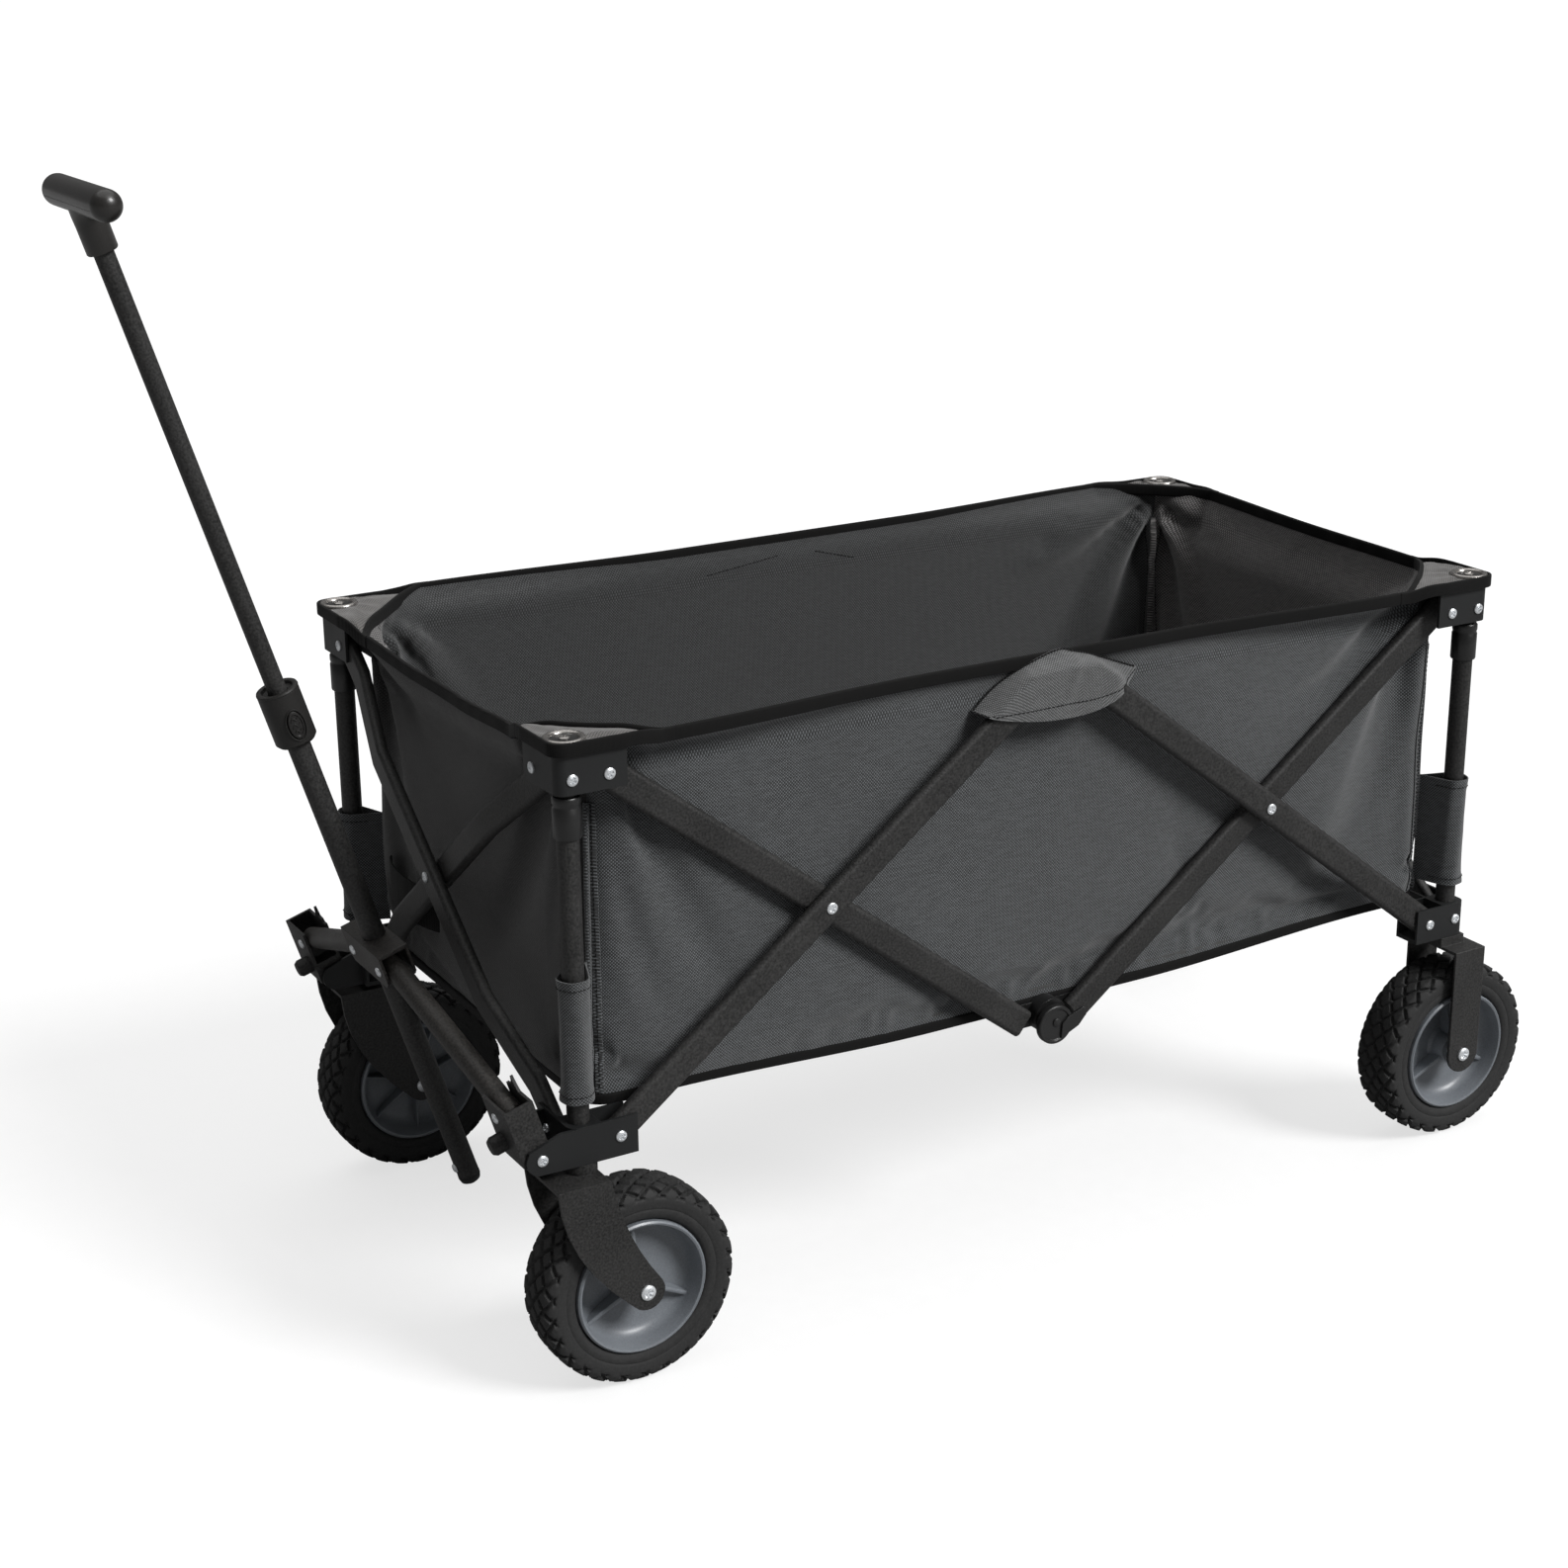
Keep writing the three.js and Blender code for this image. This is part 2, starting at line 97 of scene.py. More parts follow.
SAG_LOW = 9  # how far the middle of the side walls' lower edge hangs
RIM_LEFT, RIM_FRONT, RIM_FRONT_MIDDLE = 9, 14, 6  # how far the bound edge hangs


# ---- mesh building


def arr(points):
    return np.array(points, float)


def joined(parts):
    verts, faces, base = [], [], 0
    for v, f in parts:
        verts.append(arr(v))
        faces += [tuple(i + base for i in face) for face in f]
        base += len(v)
    return np.concatenate(verts), faces


def moved(part, matrix):
    m = np.array(matrix, float)
    return part[0] @ m[:3, :3].T + m[:3, 3], part[1]


def flipped(part, sx, sy):
    verts = part[0] * arr([sx, sy, 1])
    faces = [tuple(reversed(f)) for f in part[1]] if sx * sy < 0 else part[1]
    return verts, faces


def loft(rings, caps=True, loop=False):
    k, n = len(rings[0]), len(rings)
    faces = []
    for i in range(n if loop else n - 1):
        a, b = i * k, ((i + 1) % n) * k
        faces += [(a + j, a + (j + 1) % k, b + (j + 1) % k, b + j) for j in range(k)]
    if caps and not loop:
        faces.append(tuple(reversed(range(k))))
        faces.append(tuple((n - 1) * k + j for j in range(k)))
    return np.concatenate([arr(r) for r in rings]), faces


def turned(profile, segments=48, loop=False):
    angles = np.linspace(0, 2 * math.pi, segments, endpoint=False)
    rings = [
        np.stack([r * np.cos(angles), r * np.sin(angles), np.full(segments, z)], 1)
        for r, z in profile
    ]
    return loft(rings, loop=loop)


def rounded(half_u, half_v, r, steps=4):
    """A rounded rectangle as points (u, v), anticlockwise."""
    points = []
    for k, (cu, cv) in enumerate(((1, 1), (-1, 1), (-1, -1), (1, -1))):
        for i in range(steps + 1):
            a = math.pi / 2 * (k + i / steps)
            points.append((cu * (half_u - r) + r * math.cos(a), cv * (half_v - r) + r * math.sin(a)))
    return points


def run_of(line):
    """How far along a line each of its points lies."""
    return np.r_[0, np.cumsum(np.linalg.norm(np.diff(line, axis=0), axis=1))]


def spaced(line, count):
    """A line in plan, drawn again with evenly spaced points."""
    steps = run_of(line)
    run = np.linspace(0, steps[-1], count)
    return np.stack([np.interp(run, steps, line[:, 0]), np.interp(run, steps, line[:, 1])], 1)


def swept(path, section, up=(0, 0, 1), caps=True, loop=False):
    """section points are (sideways, along up)."""
    path, up = arr(path), arr(up)
    ahead = np.roll(path, -1, 0) - np.roll(path, 1, 0)
    if not loop:
        ahead[0], ahead[-1] = path[1] - path[0], path[-1] - path[-2]
    rings = []
    for p, t in zip(path, ahead):
        side = np.cross(t / np.linalg.norm(t), up)
        side /= np.linalg.norm(side)
        top = np.cross(side, t / np.linalg.norm(t))
        rings.append([p + u * side + v * top for u, v in section])
    return loft(rings, caps, loop)


def shell(outer, inner):
    """A thin closed body between two grids of points."""
    nu, nv = outer.shape[:2]
    at = np.arange(nu * nv).reshape(nu, nv)
    far = at + nu * nv
    spots = [(i, j) for i in range(nu - 1) for j in range(nv - 1)]
    faces = [(at[i, j], at[i + 1, j], at[i + 1, j + 1], at[i, j + 1]) for i, j in spots]
    faces += [(far[i, j], far[i, j + 1], far[i + 1, j + 1], far[i + 1, j]) for i, j in spots]
    for i in range(nu - 1):
        for j, flip in ((0, False), (nv - 1, True)):
            quad = (at[i, j], far[i, j], far[i + 1, j], at[i + 1, j])
            faces.append(quad[::-1] if flip else quad)
    for j in range(nv - 1):
        for i, flip in ((0, True), (nu - 1, False)):
            quad = (at[i, j], far[i, j], far[i, j + 1], at[i, j + 1])
            faces.append(quad[::-1] if flip else quad)
    faces = [tuple(int(i) for i in f) for f in faces]
    return np.concatenate([outer.reshape(-1, 3), inner.reshape(-1, 3)]), faces


def grid_normals(grid):
    du = np.gradient(grid, axis=0)
    dv = np.gradient(grid, axis=1)
    n = np.cross(du, dv)
    return n / np.maximum(np.linalg.norm(n, axis=2, keepdims=True), 1e-9)


def ring_normals(grid):
    """The same for a grid that closes on itself along its first axis."""
    return grid_normals(np.concatenate([grid[-1:], grid, grid[:1]]))[1:-1]


def put(points):
    return arr(points) * MM + arr([MID_X, 0, 0])


def make(name, parts, material, body, uv=None, local=None, bevel=0.0, angle=38, mesh=None):
    """A new piece from parts in wagon millimetres, or about its own origin where local is given."""
    if mesh is None:
        verts, faces = joined(parts)
        mesh = bpy.data.meshes.new(name)
        place = verts * MM if local is not None else put(verts)
        mesh.from_pydata(place.tolist(), [], faces)
        made = bmesh.new()
        made.from_mesh(mesh)
        bmesh.ops.recalc_face_normals(made, faces=made.faces[:])
        made.to_mesh(mesh)
        made.free()
        mesh.shade_smooth()
        mesh.set_sharp_from_angle(angle=math.radians(angle))
        if uv is not None:
            layer = mesh.uv_layers.new(name="cloth")
            index = np.zeros(len(mesh.loops), np.int32)
            mesh.loops.foreach_get("vertex_index", index)
            flat = np.resize(arr(uv), (len(verts), 2))  # a shell's two faces share one layout
            layer.data.foreach_set("uv", flat[index].astype(np.float32).ravel())
        mesh.materials.append(material)
    obj = bpy.data.objects.new(name, mesh)
    bpy.context.scene.collection.objects.link(obj)
    if local is not None:
        obj.matrix_world = local
    if bevel:
        soften(obj, bevel)
    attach(obj, body)
    return obj


def soften(obj, width, segments=2):
    edge = obj.modifiers.new("edge", "BEVEL")
    edge.width, edge.segments = width * MM, segments
    edge.limit_method = "ANGLE"
    edge.angle_limit = math.radians(34)
    edge.use_clamp_overlap = True
    shade = obj.modifiers.new("shade", "WEIGHTED_NORMAL")
    shade.weight = 60


# ---- materials


class Finish:
    """A Principled material and a short way to add nodes to it."""

    def __init__(self, name, **sockets):
        self.material = bpy.data.materials.new(name)
        self.material.use_nodes = True
        self.tree = self.material.node_tree
        self.shader = self.tree.nodes["Principled BSDF"]
        for socket, value in sockets.items():
            self.shader.inputs[socket.replace("_", " ")].default_value = value

    def node(self, kind, inputs=None, out=0, **props):
        made = self.tree.nodes.new(kind)
        for key, value in props.items():
            setattr(made, key, value)
        for key, value in (inputs or {}).items():
            if isinstance(value, bpy.types.NodeSocket):
                self.tree.links.new(value, made.inputs[key])
            else:
                made.inputs[key].default_value = value
        return made.outputs[out]

    def math(self, operation, a, b=0.0):
        return self.node("ShaderNodeMath", {0: a, 1: b}, operation=operation)

    def coords(self, stretch=(1, 1, 1)):
        object_space = self.node("ShaderNodeTexCoord", out="Object")
        return self.node("ShaderNodeMapping", {"Vector": object_space, "Scale": stretch})

    def noise(self, scale, detail=2.0, stretch=(1, 1, 1)):
        inputs = {"Vector": self.coords(stretch), "Scale": scale, "Detail": detail}
        return self.node("ShaderNodeTexNoise", inputs)

    def spread(self, value, low, high, start=0.3, end=0.7):
        inputs = {"Value": value, "From Min": start, "From Max": end, "To Min": low, "To Max": high}
        return self.node("ShaderNodeMapRange", inputs)

    def mix(self, factor, a, b):
        return self.node("ShaderNodeMixRGB", {"Fac": factor, "Color1": a, "Color2": b})

    def feed(self, socket, value):
        self.tree.links.new(value, self.shader.inputs[socket])

    def bump(self, height, distance, strength=1.0):
        inputs = {"Height": height, "Distance": distance, "Strength": strength}
        self.feed("Normal", self.node("ShaderNodeBump", inputs))


def grey(value, warm=0.0):
    return (value * (1 + warm), value, value * (1 - warm), 1)


def greys(dark, light, warm=0.0):
    return grey(dark, warm), grey(light, warm)


def grained(name, dark, light, scale, rough, distance, broad=14.0, **sockets):
    """Speckled, slightly uneven hard surface: powder coat, moulded plastic, rubber or metal."""
    f = Finish(name, **sockets)
    speck = f.noise(scale, 3.0)
    wide = f.noise(broad, 3.0)
    tone = f.math("ADD", f.spread(speck, 0, 0.75), f.spread(wide, 0, 0.25))
    f.feed("Base Color", f.mix(tone, dark, light))
    f.feed("Roughness", f.math("ADD", f.spread(wide, rough[0], rough[1]), f.spread(speck, 0, 0.08)))
    f.bump(speck, distance, 0.6)
    return f.material


def woven(name, dark, light, pitch, tint=(1, 1, 1)):
    """Plain weave of dark and light yarns over the piece's own flat coordinates, with painted shade between
    the yarns and painted highlight on their crowns.
    """
    f = Finish(name, Sheen_Weight=0.25, Sheen_Roughness=0.6, Specular_IOR_Level=0.25)
    flat = f.node("ShaderNodeSeparateXYZ", {0: f.node("ShaderNodeUVMap", uv_map="cloth")})
    across = flat.node.outputs
    warp = f.math("SINE", f.math("MULTIPLY", across[0], math.pi / pitch))
    weft = f.math("SINE", f.math("MULTIPLY", across[1], math.pi / pitch))
    over = f.math("MULTIPLY", warp, weft)
    crown = f.math("ABSOLUTE", over)
    yarn = f.spread(over, 0.05, 0.95, -0.35, 0.35)
    slub = f.noise(420, 2.0, (0.25, 0.25, 1.6))
    wide = f.noise(7, 3.0)
    tone = f.math("ADD", yarn, f.spread(slub, -0.16, 0.16))
    tone = f.math("ADD", tone, f.spread(wide, -0.07, 0.07))
    color = f.mix(tone, dark, light)
    # Painted shade and highlight: the colour is scaled from 0.45 between the yarns to 1.12 on their crowns.
    shade = f.spread(crown, 0.45, 1.12, 0.0, 0.7)
    f.feed("Base Color", f.node("ShaderNodeVectorMath", {0: color, 1: f.node("ShaderNodeCombineXYZ", {
        i: f.math("MULTIPLY", shade, tint[i]) for i in range(3)
    })}, operation="MULTIPLY"))
    f.feed("Roughness", f.spread(wide, 0.78, 0.9))
    f.bump(crown, 0.00035, 0.7)
    return f.material


def taped(name, dark, light, ribs):
    """Ribbed woven tape."""
    f = Finish(name, Roughness=0.85, Sheen_Weight=0.04, Specular_IOR_Level=0.12)
    wave = f.node("ShaderNodeTexWave", {"Vector": f.coords(), "Scale": ribs, "Distortion": 0.4}, out="Fac")
    fine = f.noise(900, 2.0)
    f.feed("Base Color", f.mix(f.math("MULTIPLY", wave, fine), dark, light))
    f.feed("Roughness", f.spread(fine, 0.7, 0.85))
    f.bump(f.math("ADD", wave, fine), 0.0002, 0.5)
    return f.material


WHITE = (1, 1, 1, 1)
MATT = {"Specular_IOR_Level": 0.32}
COAT = grained("coat", *greys(0.005, 0.038, 0.02), 520, (0.42, 0.54), 0.00050, **MATT)
COAT_LINK = grained("coat_link", *greys(0.006, 0.040, 0.08), 520, (0.42, 0.54), 0.00050, **MATT)
PLASTIC = grained("plastic", *greys(0.007, 0.016, -0.04), 1500, (0.42, 0.55), 0.00010, **MATT)
PLASTIC_GLOSS = grained("plastic_gloss", *greys(0.006, 0.011), 900, (0.26, 0.36), 0.00004)
CLAMP = grained("clamp", *greys(0.008, 0.018, 0.05), 1300, (0.36, 0.48), 0.00008, **MATT)
RUBBER = grained("rubber", *greys(0.007, 0.022), 500, (0.68, 0.82), 0.00016, broad=30)
RIM_DARK, RIM_LIGHT = (0.125, 0.136, 0.150, 1), (0.180, 0.195, 0.214, 1)
RIM = grained("rim", RIM_DARK, RIM_LIGHT, 800, (0.30, 0.42), 0.00006, broad=22)
ZINC = grained("zinc", *greys(0.62, 0.88, -0.03), 700, (0.24, 0.36), 0.00004, Metallic=0.65)
NICKEL = grained("nickel", *greys(0.26, 0.42, 0.05), 500, (0.16, 0.26), 0.00003, Metallic=0.9)
GRIP = grained("grip", *greys(0.009, 0.016, 0.10), 1200, (0.30, 0.38), 0.00004, Coat_Weight=0.15)
YARN = 0.00135
CANVAS = woven("canvas", *greys(0.001, 0.118), YARN, (0.94, 1.0, 1.05))
# The end walls' canvas: the same canvas, darker and warmer, as painted shade on their outer faces, which
# face away from the key light.
CANVAS_END_SHADED = woven("canvas_end_shaded", *greys(0.002, 0.026), YARN, (1.03, 1.0, 1.0))
# The walls' inner faces: the same canvas, darker, as painted shade inside the tub.
SHADED_INSIDE = woven("shaded_inside", *greys(0.004, 0.058), YARN, (0.96, 1.0, 1.03))
# The end walls' inner faces: the same canvas, much brighter, as painted light inside the tub's ends.
LIT_END_INSIDE = woven("lit_end_inside", *greys(0.016, 0.180), YARN, (1.05, 1.0, 0.99))
CANVAS_TAB = woven("canvas_tab", *greys(0.028, 0.170), YARN, (0.98, 1.0, 1.01))
CANVAS_CORNER = woven("canvas_corner", *greys(0.020, 0.140), YARN, (1.06, 1.0, 0.95))
PAD = woven("pad", *greys(0.012, 0.050), 0.0011)
TAPE = taped("tape", *greys(0.003, 0.011, 0.02), 320)
THREAD = taped("thread", *greys(0.006, 0.016), 900)


# ---- camera, floor and light

camera = bpy.data.objects.new("camera", bpy.data.cameras.new("camera"))
bpy.context.scene.collection.objects.link(camera)
camera.data.sensor_width = 36
camera.data.lens = 62.66
camera.data.clip_end = 100
YAW, PITCH_DOWN, ROLL = math.radians(59.93), math.radians(18.95), math.radians(-0.58)
camera.location = put([-1273.2, -1971.5, 1168.9])
look = Matrix.Rotation(YAW - math.pi / 2, 4, "Z") @ Matrix.Rotation(math.pi / 2 - PITCH_DOWN, 4, "X")
camera.rotation_euler = (look @ Matrix.Rotation(ROLL, 4, "Z")).to_euler()
bpy.context.scene.camera = camera


def strength(tree, lighting, seen, socket):
    """Sets a glow that is weaker as light on the object than as the pale ground behind it."""
    straight = tree.nodes.new("ShaderNodeLightPath").outputs["Is Camera Ray"]
    level = tree.nodes.new("ShaderNodeMapRange")
    level.inputs["To Min"].default_value = lighting
    level.inputs["To Max"].default_value = seen
    tree.links.new(straight, level.inputs["Value"])
    tree.links.new(level.outputs[0], socket)


FLOOR = grained("floor", *greys(0.29, 0.31), 60, (0.7, 0.8), 0.0001, broad=2, Emission_Color=WHITE)
floor_inputs = FLOOR.node_tree.nodes["Principled BSDF"].inputs
strength(FLOOR.node_tree, 0.0, 0.70, floor_inputs["Emission Strength"])
bpy.ops.mesh.primitive_plane_add(size=80)
floor = bpy.context.active_object
floor.name = "floor"
floor.data.materials.append(FLOOR)


def sun(name, toward, strength, spread):
    light = bpy.data.lights.new(name, "SUN")
    light.energy = strength
    light.angle = math.radians(spread)
    obj = bpy.data.objects.new(name, light)
    obj.rotation_mode = "QUATERNION"
    obj.rotation_quaternion = Vector(toward).to_track_quat("Z", "Y")
    bpy.context.scene.collection.objects.link(obj)


sun("key", (0.50, -0.80, 0.78), 3.4, 22)
sun("top", (0.10, 0.15, 1.0), 1.3, 80)
world = bpy.data.worlds.new("studio")
bpy.context.scene.world = world
world.use_nodes = True
sky = world.node_tree.nodes["Background"]
strength(world.node_tree, 0.16, 1.0, sky.inputs["Strength"])
sky.inputs["Color"].default_value = WHITE
bpy.context.scene.view_settings.view_transform = "Standard"


# ---- frame parts kept from the CAD

KEPT = {  # material and edge rounding, where they aren't powder coat and 0.5 mm
    "top_bracket": (PLASTIC, 1.2),
    "low_bracket": (PLASTIC, 1.0),
    "fork": (COAT, 1.1),
    "hub_low": (PLASTIC_GLOSS, 1.0),
    "hub_high": (PLASTIC, 0.8),
    "rocker": (COAT, 0.7),
    "link": (COAT_LINK, 0.5),
    "handle_clamp": (CLAMP, 0.9),
}
REDRAWN = ("tyre", "rim", "axle", "grip", "clamp_button", "tub", "base_mat")

for node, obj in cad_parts.items():
    if node.startswith(REDRAWN):
        continue
    material, bevel = next((look for k, look in KEPT.items() if node.startswith(k)), (COAT, 0.5))
    for slot in obj.material_slots:
        slot.material = material
    if "custom_normal" in obj.data.attributes:
        obj.data.attributes.remove(obj.data.attributes["custom_normal"])
    obj.data.shade_smooth()
    weld = obj.modifiers.new("weld", "WELD")
    weld.merge_threshold = 0.00002
    soften(obj, bevel)


# ---- fasteners


def screw(radius, height, cross=True):
    """A pan head about the origin, facing +Z, with a cross recess."""
    rings = [1.0, 0.93, 0.8, 0.64, 0.5, 0.4, 0.28, 0.14]
    verts, faces = [], []
    count = 24
    for k, share in enumerate(rings):
        for j in range(count):
            a = 2 * math.pi * j / count
            x, y = share * math.cos(a), share * math.sin(a)
            z = math.sqrt(max(0.0, 1 - 0.8 * share * share))
            in_cross = min(abs(x), abs(y)) < 0.15 and share < 0.6
            verts.append((radius * x, radius * y, height * (z - (0.5 if cross and in_cross else 0))))
    base = len(verts)
    verts += [(radius * math.cos(2 * math.pi * j / count), radius * math.sin(2 * math.pi * j / count), -0.4)
              for j in range(count)]
    verts.append((0, 0, height * (0.5 if cross else 1.0)))
    for j in range(count):
        m = (j + 1) % count
        for k in range(len(rings) - 1):
            faces.append((k * count + j, k * count + m, (k + 1) * count + m, (k + 1) * count + j))
        faces.append((base + j, base + m, m, j))
        faces.append(((len(rings) - 1) * count + j, (len(rings) - 1) * count + m, base + count))
    faces.append(tuple(reversed(range(base, base + count))))
    return arr(verts), faces


def facing(part, position, normal, turn=0.0):
    matrix = Vector(normal).to_track_quat("Z", "Y").to_matrix().to_4x4() @ Matrix.Rotation(turn, 4, "Z")
    return moved(part, Matrix.Translation(Vector(position)) @ matrix)


PIVOT = arr([-488, 0, 214])
LEAN = math.radians(17)
UP_HANDLE = arr([-math.sin(LEAN), 0, math.cos(LEAN)])
AHEAD = arr([-math.cos(LEAN), 0, -math.sin(LEAN)])


def on_handle(y, s, n):
    return PIVOT + arr([0, y, 0]) + s * UP_HANDLE + n * AHEAD


HEADS = {}


def head(body, position, normal, radius=4.6, height=2.4, cross=True):
    turn = 0.7 * len(HEADS.get(body, [])) + 0.3
    HEADS.setdefault(body, []).append(facing(screw(radius, height, cross), position, normal, turn))


for c, (sx, sy) in CORNERS.items():
    upper, lower = f"upper_{c}", LOW_BODY[c]
    side_face, end_face = sy * (POST_Y + EAR_OUT), sx * (POST_X + EAR_OUT)
    head(upper, (sx * (POST_X - INSET), side_face, HIGH_Z), (0, sy, 0))
    head(upper, (sx * (POST_X + 1), side_face, HIGH_Z), (0, sy, 0))
    head(upper, (end_face, sy * (POST_Y - INSET), HIGH_Z), (sx, 0, 0))
    head(lower, (sx * (POST_X - INSET), side_face, LOW_Z), (0, sy, 0))
    head(lower, (end_face, sy * (POST_Y - INSET), LOW_Z), (sx, 0, 0), 3.8)
    if sx > 0:
        head(lower, (sx * (POST_X + 1), side_face, LOW_Z), (0, sy, 0))
    else:
        head(lower, (PIVOT[0], side_face, PIVOT[2]), (0, sy, 0))
        rocker = "rocker_l" if sy < 0 else "rocker_r"
        head(rocker, on_handle(sy * 208, 35.4, 14.4), AHEAD, 4.4)
        head("handle_base", on_handle(sy * 28, 99.9, 14.4), AHEAD, 4.2)
    middle = (POST_X - INSET + 30) / 2
    head(f"bar_low_{c}", (sx * middle, sy * (POST_Y + BAR_OUT), MID_Z), (0, sy, 0), 4.8, 2.0)
for end, sx in (("front", -1), ("rear", 1)):
    head(f"end_bar_{end}_outer", (sx * (POST_X + BAR_OUT + 14), 0, MID_Z), (sx, 0, 0), 4.6, 2.0)
head("handle_base", on_handle(0, -119, 9.4), AHEAD, 4.0, 2.2, False)
for body, parts in HEADS.items():
    make(f"screws_{body}", parts, ZINC, body, angle=50)


# ---- wheels


BLOCKS = 26  # tread blocks round a tyre
UPRIGHT = Matrix.Rotation(math.pi / 2, 4, "X")  # stands a turned part's axis along y


def tyre():
    half = [(57.5, 19.5), (59.5, 22), (63, 23.3), (66, 23.2), (67, 22.7), (68, 23.3), (73, 23.9),
            (78, 23.6), (82, 21.6), (84.6, 18), (85.6, 12), (86, 5), (86, 0)]
    outline = arr([(r, -y) for r, y in half] + [(r, y) for r, y in half[-2::-1]])
    r, y = spaced(outline, 80).T
    length = run_of(outline)[-1]
    s = np.linspace(0, length, 80) - length / 2
    columns = BLOCKS * 16
    a = np.arange(columns) / columns * BLOCKS
    lattice = (a[:, None] + sign * s[None, :] / 17.0 for sign in (1, -1))
    near = np.minimum(*(np.abs((u + 0.5) % 1 - 0.5) for u in lattice))
    groove = 1 - np.clip((near - 0.085) / 0.05, 0, 1)
    reach = np.clip((28.5 - np.abs(s)) / 1.6, 0, 1)
    depth = 3.3 * groove * reach[None, :]
    theta = a / BLOCKS * 2 * math.pi
    inward_r = (r - 70) / np.hypot(r - 70, y)
    inward_y = y / np.hypot(r - 70, y)
    rr = r[None, :] - depth * inward_r[None, :]
    yy = y[None, :] - depth * inward_y[None, :]
    grid = np.stack([rr * np.cos(theta)[:, None], yy, rr * np.sin(theta)[:, None]], 2)
    return loft(list(grid), loop=True)


def rim():
    face = [(57.2, 20), (57.0, 23.2), (55.6, 24.4), (54.0, 23.8), (53.0, 21.5), (51.6, 13), (49.4, 8.0),
            (45.4, 4.8), (40, 3.4), (18, 3.4), (15.2, 6), (13.6, 17), (12.6, 18.4), (7.0, 18.4)]
    profile = face + [(r, -z) for r, z in reversed(face)]
    body = turned(profile, 96, loop=True)
    parts = [moved(body, UPRIGHT)]
    for side, count, wide, start in ((1, 3, 2.6, -28), (-1, 7, 1.4, 12)):
        for k in range(count):
            section = []
            for radius, top in ((12.5, 16.5), (24, 14.5), (38, 12.5), (51.8, 11.5)):
                edge = [(-wide, 2), (-wide * 0.7, top - 0.6), (-wide * 0.3, top), (wide * 0.3, top),
                        (wide * 0.7, top - 0.6), (wide, 2)]
                section.append([(radius, v, side * z) for v, z in edge])
            spin = Matrix.Rotation(2 * math.pi * k / count + math.radians(start), 4, "Z")
            parts.append(moved(loft(section), UPRIGHT @ spin))
    return parts


def axle():
    end = facing(screw(6.4, 3.0), (0, -32.6, 0), (0, -1, 0), 0.4)
    nut = facing(screw(6.4, 3.0), (0, 32.6, 0), (0, 1, 0), 0.9)
    sleeve = [(5.2, -29.2), (6.9, -28.9), (6.9, 28.9), (5.2, 29.2)]
    rod = [(4.8, -33), (4.8, 33)]
    return [end, nut, moved(turned(sleeve, 32), UPRIGHT), moved(turned(rod, 24), UPRIGHT)]


shared = {}
for c, (sx, sy) in CORNERS.items():
    wheel_body = f"wheel_{c}"
    axle_body = f"caster_{c}" if sx < 0 else LOW_BODY[c]
    place = Matrix.Translation(WHEEL[c]) @ Matrix.Rotation(math.pi if sy > 0 else 0, 4, "Z")
    for name, build, material, body, slot in (
        ("tyre", lambda: [tyre()], RUBBER, wheel_body, "tyre"),
        ("rim", rim, RIM, wheel_body, "rim"),
        ("axle", axle, ZINC, axle_body, "zinc"),
    ):
        parts = None if name in shared else build()
        piece = make(f"{name}_detail_{c}", parts, material, body, local=place, mesh=shared.get(name))
        shared[name] = piece.data
        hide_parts(f"{name}_{c}")


# ---- handle, collars and plugs

HANDLE = Matrix([(0, -1, 0, 0), (*UP_HANDLE, 0), (*AHEAD, 0), (*PIVOT, 1)]).transposed()
ALONG = HANDLE @ Matrix.Rotation(-math.pi / 2, 4, "X")
GRIP_UP, BUTTON_UP = 755, 322  # how far up the handle the grip's bar and the button sit

arc = [(12 * math.sin(a), 57.6 + 12 * math.cos(a)) for a in np.linspace(0.03, math.pi / 2, 10)]
bulb = turned([(r, -z) for r, z in arc] + arc[::-1], 64)
bulb = moved(bulb, HANDLE @ Matrix.Translation((0, GRIP_UP, 0)) @ Matrix.Rotation(math.pi / 2, 4, "Y"))
neck_rings = []
for s, wide, deep in ((714, 11.2, 11.2), (715, 11.9, 11.9), (736, 12.0, 12.0), (740, 13.2, 12.1),
                      (744, 17, 12.0), (748, 23, 11.4), (752, 31, 10.2), (756, 40, 8.0)):
    neck_rings.append([on_handle(wide * math.cos(a), s, deep * math.sin(a))
                       for a in np.linspace(0, 2 * math.pi, 48, endpoint=False)])
neck = loft(neck_rings)
parting = []
for sign in (1, -1):
    line = [on_handle(y, GRIP_UP, sign * 12.0) for y in np.linspace(-57, 57, 20)]
    parting.append(swept(line, [(0.3, 0), (0, 0.3), (-0.3, 0), (0, -0.3)]))
grip = make("grip_detail", [bulb, neck, *parting], GRIP, "handle_slider", angle=45)
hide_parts("grip")

oval = [(6.4 * math.cos(a), 11.9 * math.sin(a)) for a in np.linspace(0, 2 * math.pi, 48, endpoint=False)]
button_rings = []
for grow, face in ((1.0, 13.6), (1.0, 17.2), (0.93, 18.0), (0.8, 18.1), (0.72, 17.3), (0.3, 17.5)):
    button_rings.append([on_handle(-face, BUTTON_UP + v * grow, u * grow) for u, v in oval])
button = [loft(button_rings)]
for k, s in enumerate((-5.2, 0, 5.2)):
    across = np.linspace(-3.4, 3.4, 14)
    wave = [on_handle(-17.5, BUTTON_UP + s + 1.2 * math.sin(u * 1.4), u) for u in across]
    button.append(swept(wave, rounded(0.7, 0.7, 0.6, 2), up=(0, 1, 0)))
press = make("button_detail", button, CLAMP, "clamp_button", angle=40)
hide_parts("clamp_button")

